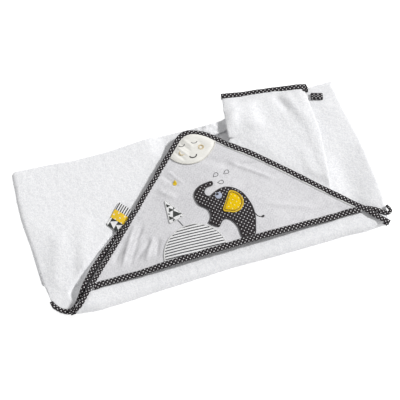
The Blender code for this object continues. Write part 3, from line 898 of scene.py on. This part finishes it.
def roundTheFront(made):
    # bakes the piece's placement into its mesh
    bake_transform(made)


def backOutline():
    radius = backCloth["frontRadius"]
    legs = hoodOutline(seamInset, -0.105)
    top = [(x, -y) for x, y in legs[2:]]
    left, right = bundle["left"], bundle["right"]

    def lower(x, y):
        # travel to a place on the bottom layer
        return halfTurn * radius + y - 2 * frontLine(x)

    def upper(x, y):
        # travel to a place on the upper layer
        return lower(x, backLine(x)) + halfTurn * backCloth["backRadius"] + backLine(x) - y
    inner = backCloth["upperLeft"]
    turn = halfTurn * radius
    start = -frontLine(-0.213)
    tipSide = [(legs[0][0], 0.105), (-0.2150, start + 0.0010), (-0.2160, start + turn * 0.5),
               (-0.2120, start + turn), (-0.2080, lower(-0.2080, -0.1080))]
    leftSide = [(left - 0.0030, lower(left, -0.0640)), (left - 0.0050, lower(left, 0.0200)),
                (left - 0.0025, lower(left, backLine(left))), (inner, upper(inner, backLine(inner) - 0.004)),
                (inner, upper(inner, -0.0050))]
    innerEnd = [(x, upper(x, -0.1040)) for x in np.linspace(-0.1250, right, 14)]
    rightSide = [(right, lower(right, -0.1085)), (right + 0.0010, 0.1140 + turn * 0.5),
                 (right + 0.0020, 0.1140), (legs[1][0] - 0.0005, 0.105)]
    return rounded(tipSide + leftSide + innerEnd + rightSide, 0.004) + top


def buildBack():
    outline = backOutline()
    made = terrySheet("towelBack", outline, placeBack, 21)
    dress(made, "terry")
    roundTheFront(made)
    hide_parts("bottom_layer", "back_right_layer", "front_fold_roll", "hood_corner_layer")


buildBack()
print("towel back folded")


# towel side: left panel, left fold, hidden middle layer

sidePanel = {
    "foldRadius": (heights["side"] - heights["middle"]) / 2,
    "droop": 0.0088,
    "droopReach": 0.085,
    "hollow": 0.0052,      # beside the raised bound edge
    "lip": 0.0030,
    "bulgeReach": 0.045,
    "rightGap": 0.0062,    # the hidden layer stops this far inside the right edge
    "slope": 0.897,
    "shoulder": 0.084,
}
sidePanel["foldLine"] = bundle["left"] + sidePanel["foldRadius"] + terry["thickness"] / 2
# how far the left fold stands out along the depth
leftEdge = np.array([(-0.0960, 0.0), (-0.0880, 0.0008), (-0.0650, 0.0034), (-0.0400, 0.0046),
                     (-0.0100, 0.0050), (0.0060, 0.0058), (0.0350, 0.0070), (0.0600, 0.0068),
                     (0.0860, 0.0050), (0.1100, 0.0040)])
# bound edge's middle line: from the left fold round the tip, then up under the hood
sideEdge = [(-0.2480, -0.0925), (-0.2415, -0.1030), (-0.2335, -0.1110), (-0.2240, -0.1140),
            (-0.2152, -0.1110), (-0.2076, -0.1034), (-0.1948, -0.0879), (-0.1783, -0.0689),
            (-0.1594, -0.0514), (-0.1406, -0.0359), (-0.1000, -0.0030)]
tip = np.array(sideEdge[3])
strand = np.array(sideEdge[4:])
ridges = Drift(31, 0.045)
# where the panel drops beside its raised bound edge
wedgeEdge = np.array([(-0.1240, -0.0100), (-0.1385, -0.0235), (-0.1665, -0.0445), (-0.1890, -0.0615),
                      (-0.2160, -0.0865), (-0.2215, -0.1020)])


sideCreases = [   # start, end, width, height
    ((-0.236, -0.085), (-0.205, 0.010), 0.009, 0.0016),
    ((-0.214, -0.100), (-0.190, -0.020), 0.008, -0.0014),
    ((-0.200, -0.070), (-0.165, 0.020), 0.012, 0.0010),
]


def beyond(points, line):
    # distance from a line, counted positive on its right-hand side
    run = np.diff(line, axis=0)
    away = points[:, None] - line[None, :-1]
    share = np.clip((away * run).sum(axis=2) / (run * run).sum(axis=1), 0, 1)
    near = away - share[..., None] * run
    reach = np.hypot(near[..., 0], near[..., 1])
    first = reach.argmin(axis=1)
    rows = np.arange(len(points))
    turned = run[first, 1] * away[rows, first, 0] - run[first, 0] * away[rows, first, 1]
    return np.where(turned > 0, 1, -1) * reach[rows, first]


def sideHeight(x, y):
    x, y = np.broadcast_arrays(np.asarray(x, float), np.asarray(y, float))
    a, b = np.array(sideEdge[0]), np.array(sideEdge[2])
    run = b - a
    inward = np.array([-run[1], run[0]]) / np.hypot(*run)
    away = (x - b[0]) * inward[0] + (y - b[1]) * inward[1]
    places = np.column_stack([x.ravel(), y.ravel()])
    beside = edgeDistance(places, strand, closed=False).reshape(x.shape)
    fromTip = np.hypot(x - tip[0], y - tip[1])
    hold = (1 - smooth((beside - 0.003) / 0.004)) * smooth((fromTip - 0.008) / 0.030)
    within = smooth(0.5 - beyond(places, wedgeEdge).reshape(x.shape) / 0.0036)
    low = sidePanel["droop"] * (1 - smooth(away / sidePanel["droopReach"]))
    upward = smooth((fromTip - 0.010) / 0.030) * smooth((0.165 - fromTip) / 0.040)
    hollow = sidePanel["hollow"] * upward * smooth((beside - 0.0035) / 0.004) * within
    hollow = hollow * smooth((fromTip - 0.006) / 0.020)
    lip = sidePanel["lip"] * upward * (1 - smooth((beside - 0.003) / 0.004))
    soft = creased(x, y, sideCreases)
    calm = smooth((beside - 0.004) / 0.010)
    return heights["side"] - low * (1 - hold) - hollow + lip + calm * (soft + 0.0006 * ridges(x, y))


def placeSide(flat):
    # the first coordinate runs from the panel round the left fold into the hidden layer
    run, y = flat.T
    fold = sidePanel["foldLine"]
    radius = sidePanel["foldRadius"]
    angle = np.clip((fold - run) / radius, 0, halfTurn)
    topHeight = sideHeight(np.maximum(run, fold), y)
    half = (topHeight - heights["middle"]) / 2
    x = np.where(run > fold, run, fold - half * np.sin(angle))
    hidden = fold - halfTurn * radius
    x = np.where(run < hidden, fold + hidden - run, x)
    bulge = sidePanel["bulgeReach"]
    x = x - np.interp(y, *leftEdge.T) * smooth((fold + bulge - x) / bulge)
    z = topHeight - half * (1 - np.cos(angle))
    return (np.stack([x, y, z], axis=1),
            np.stack([-np.sin(angle), np.zeros_like(x), np.cos(angle)], axis=1))


def sideEdgePath():
    # middle line of the bound edge, from the left fold round the tip to under the hood
    low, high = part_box("left_panel_binding")
    top = sidePanel["shoulder"] - tape["width"] / 2
    end = ((low.x + high.x) / 2 + (top - (low.y + high.y) / 2) / sidePanel["slope"], top)
    return throughPoints(sideEdge + [end], 6, closed=False)


def buildSide():
    line = [Vector(point) for point in sideEdgePath()]
    outer = []
    for index, here in enumerate(line):
        ahead = (line[min(index + 1, len(line) - 1)] - line[max(index - 1, 0)]).normalized()
        outer.append((here.x + ahead.y * seamInset, here.y - ahead.x * seamInset))
    fold = sidePanel["foldLine"]
    radius = sidePanel["foldRadius"]
    hidden = fold - halfTurn * radius
    back = float(np.interp(bundle["left"], *backEdge.T))
    shoulder = sidePanel["shoulder"]
    farLeft = hidden - (bundle["right"] - sidePanel["rightGap"] - fold)
    top = [(0.060, shoulder), (0.104, shoulder + 0.004), (0.108, 0.1040), (0.060, 0.1025), (0.020, 0.1030),
           (-0.045, 0.1058), (-0.110, 0.1015), (-0.160, 0.1025), (-0.200, 0.1070), (fold, back)]
    low = [(hidden, 0.1010), (farLeft, 0.1060), (farLeft, -0.1060), (hidden - 0.075, -0.1060),
           (hidden, -0.050)]
    outline = outer + top + low
    made = terrySheet("leftPanel", outline, placeSide, 22)
    dress(made, "terry", "folded_towel", ("left_side_panel", "middle_layer"))


buildSide()


def puffySection(path, low, high, slot, seed, width):
    # a tape section that swells and shifts a little along its path
    base = np.array(tapeSection(width, low, high, slot))
    soft = Drift(seed, 0.011)
    along = np.r_[0, np.cumsum(np.linalg.norm(np.diff(path, axis=0), axis=1))]
    puff = 1 + 0.07 * soft(along, along * 0)
    shift = 0.00035 * soft(along + 0.4, along * 0)
    made = np.repeat(base[None], len(path), axis=0)
    made[..., 0] = made[..., 0] * puff[:, None] + shift[:, None]
    made[..., 1] = made[..., 1] * (0.5 + puff[:, None] / 2)
    return made


def buildSideBinding():
    middle, normal = placeSide(evenly(sideEdgePath(), tape["step"], closed=False))
    half = tape["width"] / 2 - 0.0004
    section = puffySection(middle, -half, half, (-0.002, 0.002), 41, 0.0066)
    made = sweep("leftPanelBinding", middle, normal, section)
    return dress(made, "tape", "folded_towel", ("left_panel_binding", "lower_left_binding"))


buildSideBinding()
print("left panel folded")


# towel right: tucked panel and flap, one sheet

flap = {
    "topLeft": (0.0785, 0.1462),
    "topRight": (0.1965, 0.1210),
    "knee": (0.1975, 0.043),
    "lowRight": 0.184,
    "overhang": 0.0115,
    "leftPuff": 0.0046,
    "rightPuff": 0.0016,
    "over": 0.0040,
    "bend": 0.0016,        # half the width of the strip that bends when the flap lifts
}
flapJoint = jointNamed("flap_lift")
hingeSum = flapJoint["pos_m"][0] + flapJoint["pos_m"][1]
flapSoft = Drift(33, 0.040)


flapCreases = [   # start, end, width, height
    ((0.1500, 0.1190), (0.1640, 0.0820), 0.0055, -0.0020),
    ((0.1640, 0.1180), (0.1820, 0.0600), 0.0075, 0.0018),
    ((0.0900, 0.1240), (0.1150, 0.0500), 0.0120, 0.0010),
    ((0.1620, 0.0300), (0.1680, -0.0300), 0.0090, 0.0012),
]


def rightHeight(x, y):
    # the flap lies over the hood's edge, puffs up along its own edges and hangs past the far fold
    out = smooth((x + y - hingeSum) / 0.02)
    hang = flap["overhang"] * smooth((y - backLine(x) - 0.001) / 0.042)
    soft = creased(x, y, flapCreases)
    over = smooth((y - 0.066) / 0.018) * smooth((0.128 - x) / 0.022) * (1 - smooth((y - 0.106) / 0.020))
    leftPuff = np.exp(-((x - 0.078 - 0.20 * (y - 0.10)) / 0.012) ** 2) * smooth((y - 0.078) / 0.02)
    leftPuff = flap["leftPuff"] * leftPuff * (1 - 0.7 * smooth((y - 0.112) / 0.028))
    rightPuff = flap["rightPuff"] * np.exp(-((x - 0.186) / 0.010) ** 2) * smooth((y + 0.045) / 0.02)
    loose = 0.0009 + soft + 0.0007 * flapSoft(x, y) + leftPuff + rightPuff
    return heights["side"] + out * loose + flap["over"] * over - hang


def placeRight(flat):
    x, y = flat.T
    return np.stack([x, y, rightHeight(x, y)], axis=1), upright(len(flat))


def flapTop():
    left, right = Vector(flap["topLeft"]), Vector(flap["topRight"])
    along = (right - left).normalized()
    inward = Vector((along.y, -along.x))
    return left, right, along, inward


def buildRight():
    left, right, along, inward = flapTop()
    inset = tape["thickness"] + 0.0003
    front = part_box("tucked_panel")[0].y
    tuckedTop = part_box("tucked_panel")[1].y
    sumTucked = hingeSum - 0.0028
    bound = sideEdgePath()[-1]
    slope = sidePanel["slope"]
    clear = (tape["width"] / 2 + 0.0006) * math.hypot(1, slope) / slope
    lowX = bound[0] - (bound[1] - front) / slope + clear
    corners = [(lowX + 0.020, front), (0.204, front), (0.204, front + 0.034), (sumTucked + 0.055, -0.055),
               (flap["lowRight"], hingeSum - flap["lowRight"]), flap["knee"],
               tuple(right + inward * inset), tuple(left + inward * inset), (0.0690, 0.1080),
               (0.0655, 0.0900), (0.0640, 0.0640),
               (bound[0] - (bound[1] - tuckedTop) / slope + clear, tuckedTop)]
    radii = [0.003, 0.004, 0.004, 0.002, 0.008, 0.02, 0.006, 0.005, 0.02, 0.02, 0.003, 0.003]
    outline = rounded(corners, radii)
    made = terrySheet("rightPanel", outline, placeRight, 23)
    dress(made, "terry")
    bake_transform(made)
    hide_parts("tucked_panel", "right_flap")


def buildFlapBinding():
    left, right, along, inward = flapTop()
    half = tape["width"] / 2
    start = left + inward * half
    end = right + inward * half
    path = [tuple(end + along * 0.0030 + inward * 0.0075), tuple(end + along * 0.0020 + inward * 0.0022),
            tuple(end - along * 0.006), tuple(start - along * 0.0015)]
    path = throughPoints(path, 12, closed=False)
    middle, normal = placeRight(evenly(path, tape["step"], closed=False))
    section = puffySection(middle, -0.0036, 0.0036, (-0.002, 0.002), 42, 0.0085)
    made = sweep("flapBinding", middle, normal, section)
    return dress(made, "tape", "right_flap_body", ("flap_end_binding",))


buildRight()
buildFlapBinding()
print("right flap folded")


# hood: lining, grey panel and bound edges

def buildHoodCloth():
    outline = hoodOutline(seamInset, hood["hem"])
    thick = hood["thickness"]
    gap = panelLow.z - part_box("hood_lining")[0].z
    lining = clothSheet("hoodLining", outline, onHood(-gap - thick / 2), thick, 0.005, seed=24)
    dress(lining, "lining", "hood_section", ("hood_lining",))
    panel = clothSheet("hoodPanel", outline, onHood(-thick / 2), thick, 0.0022, seed=25)
    dress(panel, "chambray", "hood_section", ("hood_panel",))
    seam = hoodOutline(-tape["width"] / 2 - 0.0003, hood["mouth"] + tape["width"] / 2)
    half = [seam[1]] + seam[2:8]
    stitch = evenly(half, 0.002, closed=False)
    path = np.column_stack([stitch, hoodFace(*stitch.T)])
    piping = sweep("hoodSeam", path, upright(len(path)), roundSection(0.0011, 0.0006, 8, 0.0003))
    dress(piping, "pale", "hood_section")


def buildLegBinding():
    # from the right tip, over the hood's top, down to the left tip where it turns under
    line = hoodOutline(0.0, -0.100)
    legs = [line[1]] + line[2:] + [line[0]]
    flat = evenly([(x, -y) for x, y in legs], 0.004, closed=False)
    middle = placeBack(flat)[0]
    rest = heights["corner"]
    rightEnd = [(0.2435, -0.1245, rest - 0.0022), (0.2380, -0.1190, rest - 0.0008), (0.2290, -0.1098, rest)]
    leftEnd = [(-0.2030, -0.1100, rest - 0.0006), (-0.2100, -0.1155, rest - 0.0030),
               (-0.2175, -0.1180, rest - 0.0070), (-0.2240, -0.1170, rest - 0.0105)]
    path = throughPoints(rightEnd + list(middle[1:-1]) + leftEnd, 4, closed=False)
    path = evenly(path, tape["step"], closed=False)
    normals = upright(len(path))
    top = heights["panel"] + hood["thickness"] + 0.0011 - heights["corner"]
    low = -terry["thickness"] / 2 - 0.0011
    section = puffySection(path, low, top, (low + 0.0008, top - 0.0008), 43, 0.0074)
    section[..., 0] *= (1 + 0.20 * smooth((path[:, 0] + 0.10) / 0.12))[:, None]
    thin = 1 - 0.25 * smooth((-0.2080 - path[:, 0]) / 0.012) - 0.2 * smooth((path[:, 0] - 0.2250) / 0.015)
    section[..., 1] *= thin[:, None]
    made = sweep("hoodLegBinding", path, normals, section)
    dress(made, "tape")
    roundTheFront(made)
    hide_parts("hood_leg_binding")
    return made


def buildMouthBinding():
    half = tape["width"] / 2
    reach = hood["apex"] - hood["mouth"] - half
    clear = 0.0005
    xs = np.linspace(hood["centre"] - reach + clear, hood["centre"] + reach - clear, 190)
    ys = np.full_like(xs, hood["mouth"]) + 0.0006 * Drift(15, 0.05)(xs, xs * 0)
    faceHeight = panelLow.z + hood["thickness"] / 2 + pocketRise(xs, ys)
    faceHeight = faceHeight + 0.0004 * Drift(16, 0.03)(xs, xs * 0)
    ends = 1 - smooth((xs - xs[0]) / 0.014) * smooth((xs[-1] - xs) / 0.014)
    middle = np.stack([xs, ys - 0.0010 * ends, faceHeight - 0.0016 * ends], axis=1)
    section = puffySection(middle, -0.0026, 0.0026, (-0.0015, 0.0009), 44, 0.0084)
    made = sweep("hoodMouthBinding", middle, upright(len(xs)), section)
    return dress(made, "tape", "hood_section", ("hood_mouth_binding",))


buildHoodCloth()
buildLegBinding()
buildMouthBinding()
print("hood made")


# motifs

patchLift = hood["thickness"] / 2 + 0.0002


def trimmed(points, start, outward):
    # keeps the side of a line that lies against its outward direction
    kept = []
    points = [np.array(p) for p in points]
    start = np.array(start)
    outward = np.array(outward)
    for a, b in zip(points, points[1:] + points[:1]):
        da, db = (a - start) @ outward, (b - start) @ outward
        if da <= 0:
            kept.append(a)
        if (da < 0) != (db < 0):
            kept.append(a + (b - a) * da / (da - db))
    return np.array(kept)


def patch(name, outline, finish, lift=0.0, thickness=0.0009, cell=0.0018, dome=0.0, swellOf=None,
          seed=3):
    # a piece of cloth sewn flat on the hood, domed a little inside its edge
    outline = np.array(outline)
    rim = evenly(outline, 0.002)

    def place(flat):
        x, y = flat.T
        z = hoodFace(x, y) + patchLift + lift
        if dome:
            z = z + dome * smooth(edgeDistance(flat, rim) / 0.006)
        if swellOf is not None:
            z = z + swellOf(x, y) * smooth(edgeDistance(flat, rim) / 0.004)
        return np.stack([x, y, z], axis=1), upright(len(flat))
    made = clothSheet(name, outline, place, thickness, cell, seed=seed)
    return dress(made, finish, "hood_section")


def thread(name, points, finish, lift=0.0, wide=0.0005, tall=0.0004, closed=False, step=0.0009):
    # a stitched line lying on the hood
    flat = evenly(points, step, closed)
    z = hoodFace(*flat.T) + lift
    path = np.column_stack([flat, z])
    made = sweep(name, path, upright(len(path)), roundSection(wide, tall, 8, tall * 0.5), closed)
    return dress(made, finish, "hood_section")


def joinTo(kept, others):
    # several meshes become one piece
    bpy.ops.object.select_all(action="DESELECT")
    for other in [*others, kept]:
        other.select_set(True)
    bpy.context.view_layer.objects.active = kept
    bpy.ops.object.join()
    return kept


moon = {"centre": (0.006, 0.080), "radius": 0.038, "eyeApart": 0.0185, "cheekApart": 0.029}
moonGathers = [   # start, end, width, height
    ((-0.0280, 0.0660), (-0.0140, 0.0450), 0.0016, 0.0016),
    ((-0.0215, 0.0720), (-0.0050, 0.0480), 0.0018, -0.0015),
    ((-0.0150, 0.0770), (0.0010, 0.0540), 0.0017, 0.0017),
    ((-0.0090, 0.0820), (0.0060, 0.0600), 0.0018, -0.0014),
    ((-0.0030, 0.0860), (0.0100, 0.0660), 0.0020, 0.0013),
    ((0.0180, 0.0800), (0.0260, 0.0580), 0.0030, -0.0007),
]


def moonSwell(x, y):
    # gathers that run in from the seam at the left
    return 0.7 * creased(x, y, moonGathers)


def buildMoon():
    outline = circle(moon["centre"], moon["radius"], 90)
    inner = hoodOutline(-tape["width"] / 2 + 0.0006, hood["hem"])
    count = len(inner)
    for index in range(1, count):
        a = np.array(inner[index])
        b = np.array(inner[(index + 1) % count])
        run = b - a
        outline = trimmed(outline, a, np.array([run[1], -run[0]]) / np.hypot(*run))
    face = patch("moonPatch", outline, "satin", dome=0.0013, swellOf=moonSwell, cell=0.0015, seed=51)
    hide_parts("moon")
    cx, cy = moon["centre"]
    free = circle(moon["centre"], moon["radius"] - 0.0007, 140)
    free = free[edgeDistance(free, np.array(inner)) > 0.001]
    free = free[inside(free, np.array(inner))]
    turnStart = np.argmax(np.linalg.norm(np.diff(np.vstack([free, free[:1]]), axis=0), axis=1))
    free = np.roll(free, -(turnStart + 1), axis=0)
    thread("moonEdgeStitch", free, "cream", 0.0011, 0.0008, 0.00045)
    top = 0.0013 + patchLift + 0.0004
    for side, way in (("Left", -1), ("Right", 1)):
        ex = cx + way * moon["eyeApart"] / 2 - 0.0018
        arc = arcPoints((ex, cy - 0.0045), 0.0043, 0.0030, 1.02, 1.98, 12)
        thread(f"moonEye{side}", arc, "grey", top, 0.00045, 0.0003)
        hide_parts(f"moon_eye_{side.lower()}")
        centre = (cx + way * moon["cheekApart"] / 2, cy - 0.0165 + way * 0.0005)
        rings = []
        for number, radius in enumerate((0.0040, 0.0030, 0.0021)):
            ring = circle(centre, radius, 40)
            rings.append(thread(f"moonCheek{side}{number}", ring, "gold",
                                top - 0.0002 * number, 0.00042, 0.0003, True))
        whole = joinTo(rings[0], rings[1:])
        whole.name = f"moonCheek{side}"
        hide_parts(f"moon_cheek_{side.lower()}")
    arc = arcPoints((cx, cy - 0.0255), 0.0050, 0.0036, 0.98, 2.02, 18)
    smile = thread("moonSmile", arc, "dark", top, 0.0008, 0.0005)
    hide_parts("moon_smile")
    return face


elephant = {
    # trunk's outer side and chin, front leg, belly, back leg, back and head, trunk's inner side
    "body": [(0.0185, 0.0065), (0.0085, 0.0062), (-0.0020, 0.0035), (-0.0095, -0.0040), (-0.0110, -0.0130),
             (-0.0085, -0.0225), (-0.0015, -0.0300), (0.0022, -0.0350), (0.0028, -0.0430), (0.0000, -0.0495),
             (-0.0035, -0.0535), (0.0010, -0.0580), (0.0085, -0.0630), (0.0115, -0.0605),
             (0.0160, -0.0560), (0.0230, -0.0550), (0.0300, -0.0610), (0.0350, -0.0720), (0.0362, -0.0880),
             (0.0440, -0.0895), (0.0540, -0.0895), (0.0588, -0.0780), (0.0630, -0.0640), (0.0640, -0.0500),
             (0.0612, -0.0360), (0.0560, -0.0230), (0.0465, -0.0130), (0.0355, -0.0080), (0.0260, -0.0085),
             (0.0175, -0.0115), (0.0105, -0.0150), (0.0055, -0.0130), (0.0035, -0.0075), (0.0065, -0.0020),
             (0.0120, 0.0005), (0.0185, 0.0012)],
    "ear": [(0.0395, -0.0165), (0.0450, -0.0185), (0.0505, -0.0245), (0.0535, -0.0330), (0.0515, -0.0420),
            (0.0455, -0.0480), (0.0370, -0.0495), (0.0290, -0.0465), (0.0225, -0.0420), (0.0300, -0.0300),
            (0.0350, -0.0225)],
    "earHeight": 0.0018,
    "seamShare": 0.87,     # the ear's inner seam, against its outline
    "eye": (0.0220, -0.0180),
    "eyeRadius": 0.0052,
    "pupil": (0.0210, -0.0158),
    "pupilRadius": 0.0019,
    "tail": [(0.0636, -0.0560), (0.0656, -0.0612), (0.0682, -0.0650), (0.0722, -0.0668)],
    "tuft": [(0.0716, -0.0668), (0.0738, -0.0650), (0.0764, -0.0660), (0.0742, -0.0686)],
}


def buildElephant():
    outline = throughPoints(elephant["body"], 5)
    body = patch("elephantBody", outline, "cotton", dome=0.0010, thickness=0.0011, seed=52)
    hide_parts("elephant_body")
    thread("elephantOutline", outline, "dark", patchLift + 0.0002, 0.0009, 0.0006, True)
    ear = throughPoints(elephant["ear"], 5)
    over = elephant["earHeight"]
    middle = np.mean(ear, axis=0)
    seam = [tuple(middle + (np.array(point) - middle) * elephant["seamShare"]) for point in ear]
    earPatch = patch("elephantEar", ear, "yellow", lift=over, dome=0.0007, cell=0.0015,
                     seed=53)
    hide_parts("elephant_ear")
    onEar = over + patchLift
    thread("elephantEarStitch", ear, "earThread", onEar + 0.0002, 0.0009, 0.0005, True)
    thread("elephantEarSeam", seam, "darkGold", onEar + 0.0009, 0.0006, 0.0004, True)
    eye = patch("elephantEye", circle(elephant["eye"], elephant["eyeRadius"], 40), "felt",
                lift=over - 0.0004, thickness=0.0010, cell=0.0014, dome=0.0003, seed=54)
    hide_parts("elephant_eye")
    pupil = patch("elephantPupil", circle(elephant["pupil"], elephant["pupilRadius"], 22), "dark",
                  lift=over + 0.0007, thickness=0.0007, cell=0.0009, seed=55)
    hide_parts("elephant_pupil")
    tail = throughPoints(elephant["tail"], 8, closed=False)
    tailThread = thread("elephantTail", tail, "dark", 0.0, 0.00055, 0.0004)
    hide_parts("elephant_tail")
    tuft = throughPoints(elephant["tuft"], 6)
    tuftPatch = patch("elephantTailTuft", tuft, "dark", thickness=0.0009, cell=0.0012, seed=56)
    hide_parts("elephant_tail_tuft")


def dropOutline(centre, pointing):
    radius, length = landscape["dropRadius"], landscape["dropLength"]
    way = math.radians(pointing)
    tip = length - radius
    half = math.acos(radius / tip)
    angles = np.linspace(half, 2 * halfTurn - half, 20)
    foot = [(centre[0] + radius * math.cos(way + t), centre[1] + radius * math.sin(way + t)) for t in angles]
    return [(centre[0] + tip * math.cos(way), centre[1] + tip * math.sin(way))] + foot


landscape = {
    "hillCentre": (-0.0335, -0.0925),
    "hillRadius": 0.0455,
    "tree": [(-0.0530, 0.0015), (-0.0560, -0.0370), (-0.0335, -0.0318)],
    "trunk": [(-0.0440, -0.0355), (-0.0425, -0.0390), (-0.0395, -0.0460)],
    "dropRadius": 0.0030,
    "dropLength": 0.0088,
    "drops": [((0.0285, 0.0160), -150.0), ((0.0445, 0.0160), -157.0), ((0.0325, 0.0020), 175.0)],
    "yellowDrop": ((-0.0315, 0.0205), 73.0),
}


def buildLandscape():
    centre, radius = landscape["hillCentre"], landscape["hillRadius"]
    foot = hood["mouth"] + tape["width"] / 2 - 0.0006
    hill = trimmed(circle(centre, radius, 120), (0.0, foot), (0.0, -1.0))
    made = patch("stripedHill", hill, "striped", dome=0.0006, seed=57)
    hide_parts("striped_hill")
    stitched = radius - 0.0008
    lift = 0.06 / halfTurn
    arc = arcPoints(centre, stitched, stitched, lift, 1 - lift, 90)
    thread("hillStitch", arc, "pale", patchLift + 0.0002, 0.0008, 0.00045)
    tree = rounded(landscape["tree"], 0.0012)
    made = patch("treePatch", tree, "triangles", dome=0.0004, cell=0.0014, seed=58)
    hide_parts("tree")
    thread("treeStitch", tree, "pale", patchLift + 0.0002, 0.0006, 0.0004, True)
    trunk = thread("treeTrunk", landscape["trunk"], "grey", 0.0, 0.0005, 0.0004)
    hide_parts("tree_trunk")
    for number, drop in enumerate(landscape["drops"], start=1):
        line = thread(f"waterDrop{number}", dropOutline(*drop), "grey",
                      0.0, 0.0004, 0.00032, True)
        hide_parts(f"water_drop_{number}")
    made = patch("yellowDrop", dropOutline(*landscape["yellowDrop"]), "earThread",
                 dome=0.0004, thickness=0.0009, cell=0.0011, seed=59)
    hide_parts("yellow_drop")


buildMoon()
buildElephant()
buildLandscape()
print("motifs stitched")


# small pieces: tag, loop, turned corner

tagJoint = jointNamed("tag_lift")
tag = {"width": 0.038, "length": 0.0236, "thickness": 0.0019, "lean": math.radians(5.0)}


def buildTag():
    seam = np.array(tagJoint["pos_m"])
    along = np.array([1.0, 1.0, 0.0]) / root2
    out = np.array([-1.0, 1.0, 0.0]) / root2
    height = middleHeight("side_tag")

    def place(flat):
        a, b = flat.T
        lift = 0.0010 * np.sin(a * 130) * smooth(b / 0.012) - 0.0012 * smooth((b - 0.010) / 0.012)
        middle = seam + along * a[:, None] + out * b[:, None] + along * (b * math.tan(tag["lean"]))[:, None]
        middle[:, 2] = height + lift
        return middle, upright(len(flat))
    half = tag["width"] / 2
    low, high = -0.0008, tag["length"]
    outline = rounded([(-half, low), (half, low), (half, high), (-half, high)], 0.0012)
    made = clothSheet("sideTag", outline, place, tag["thickness"], 0.0016, seed=61)
    dress(made, "ribbon", "side_tag_body", ("side_tag",))


loop = {"length": 0.018, "width": 0.010, "outer": 0.0017, "thin": 0.00045}   # thin: half the tape


def buildLoop():
    joint = jointNamed("loop_lift")
    seam = np.array(joint["pos_m"])
    axis = np.array(joint["axis"])
    out = np.cross(up, axis)
    out /= np.linalg.norm(out)
    length, width, outer, thin = loop["length"], loop["width"], loop["outer"], loop["thin"]
    low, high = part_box("hanging_loop")
    centre = np.array(((low + high) / 2)[:])
    if (centre - seam) @ out < 0:
        out = -out
    turn = length - outer
    bend = outer - 0.0004
    line = [(0.0, -bend)] + arcPoints((turn, 0.0), bend, bend, -0.5, 0.5, 9) + [(0.0, bend)]
    line = evenly(line, 0.001, closed=False)
    path = seam + out * line[:, :1] + up * line[:, 1:]
    across = np.cross(up, out)
    normals = np.repeat(across[None], len(path), axis=0)
    section = []
    for x, y in roundSection(1.0, 1.0, 16):
        section.append((math.copysign(abs(x) ** 0.5 * thin, x), math.copysign(abs(y) ** 0.35 * width / 2, y)))
    made = sweep("hangingLoop", path, normals, section)
    return dress(made, "tape", "hanging_loop_body", ("hanging_loop",))


def buildCorner():
    height = middleHeight("right_corner_binding")
    mouth = hood["mouth"]
    points = [(0.2090, mouth + 0.0110), (0.2209, mouth + 0.0038), (0.2344, mouth - 0.0046),
              (0.2440, mouth - 0.0120), (0.2495, mouth - 0.0142), (0.2540, mouth - 0.0120),
              (0.2530, mouth - 0.0070), (0.2508, mouth - 0.0026)]
    flat = evenly(throughPoints(points, 8, closed=False), 0.0016, closed=False)
    path = np.column_stack([flat, np.full(len(flat), height + 0.0004)])
    section = puffySection(path, -0.0026, 0.0028, (-0.0010, 0.0010), 45, 0.0068)
    narrow = 1 - 0.45 * smooth((np.arange(len(path)) / len(path) - 0.62) / 0.25)
    section[..., 0] *= narrow[:, None]
    made = sweep("rightCornerBinding", path, upright(len(path)), section)
    return dress(made, "tape", "folded_towel", ("right_corner_binding",))


buildTag()
buildLoop()
buildCorner()
print("tag, loop and corner made")


# floor, light and camera

studio = {
    "floor": 14.0,
    "floorColour": (0.55, 0.55, 0.55),
    "floorGlow": 0.80,
    "world": 0.46,
    "key": 2.75,
    "keyFrom": (0.97, 0.12, 0.80),
    "keySoftness": math.radians(6.0),
    "lens": 111.7,
    "azimuth": math.radians(-17.0),
    "elevation": math.radians(69.0),
    "distance": 1.8,
    "lookAt": (-0.0014, -0.0050, 0.0),
}


def buildStudio():
    bpy.ops.mesh.primitive_plane_add(size=studio["floor"])
    floor = bpy.context.object
    floor.name = "studioFloor"
    paper = Finish("white paper")
    paper.set(Base_Color=studio["floorColour"], Roughness=0.95, Specular_IOR_Level=0.05,
              Emission_Color=(1.0, 1.0, 1.0), Emission_Strength=studio["floorGlow"])
    floor.data.materials.append(paper.material)
    world = bpy.data.worlds.new("studio")
    bpy.context.scene.world = world
    world.use_nodes = True
    sky = world.node_tree.nodes["Background"]
    sky.inputs["Color"].default_value = (1.0, 1.0, 1.0, 1.0)
    sky.inputs["Strength"].default_value = studio["world"]
    sun = bpy.data.lights.new("keyLight", "SUN")
    sun.energy = studio["key"]
    sun.angle = studio["keySoftness"]
    key = bpy.data.objects.new("keyLight", sun)
    bpy.context.scene.collection.objects.link(key)
    key.rotation_euler = Vector(studio["keyFrom"]).to_track_quat("Z", "Y").to_euler()
    camera = bpy.data.cameras.new("camera")
    camera.lens = studio["lens"]
    camera.clip_end = 20.0
    shooter = bpy.data.objects.new("camera", camera)
    bpy.context.scene.collection.objects.link(shooter)
    azimuth, elevation = studio["azimuth"], studio["elevation"]
    level = math.cos(elevation)
    way = Vector((math.sin(azimuth) * level, -math.cos(azimuth) * level, math.sin(elevation)))
    shooter.location = Vector(studio["lookAt"]) + way * studio["distance"]
    shooter.rotation_euler = way.to_track_quat("Z", "Y").to_euler()
    bpy.context.scene.camera = shooter
    bpy.context.scene.view_settings.view_transform = "Standard"


buildStudio()
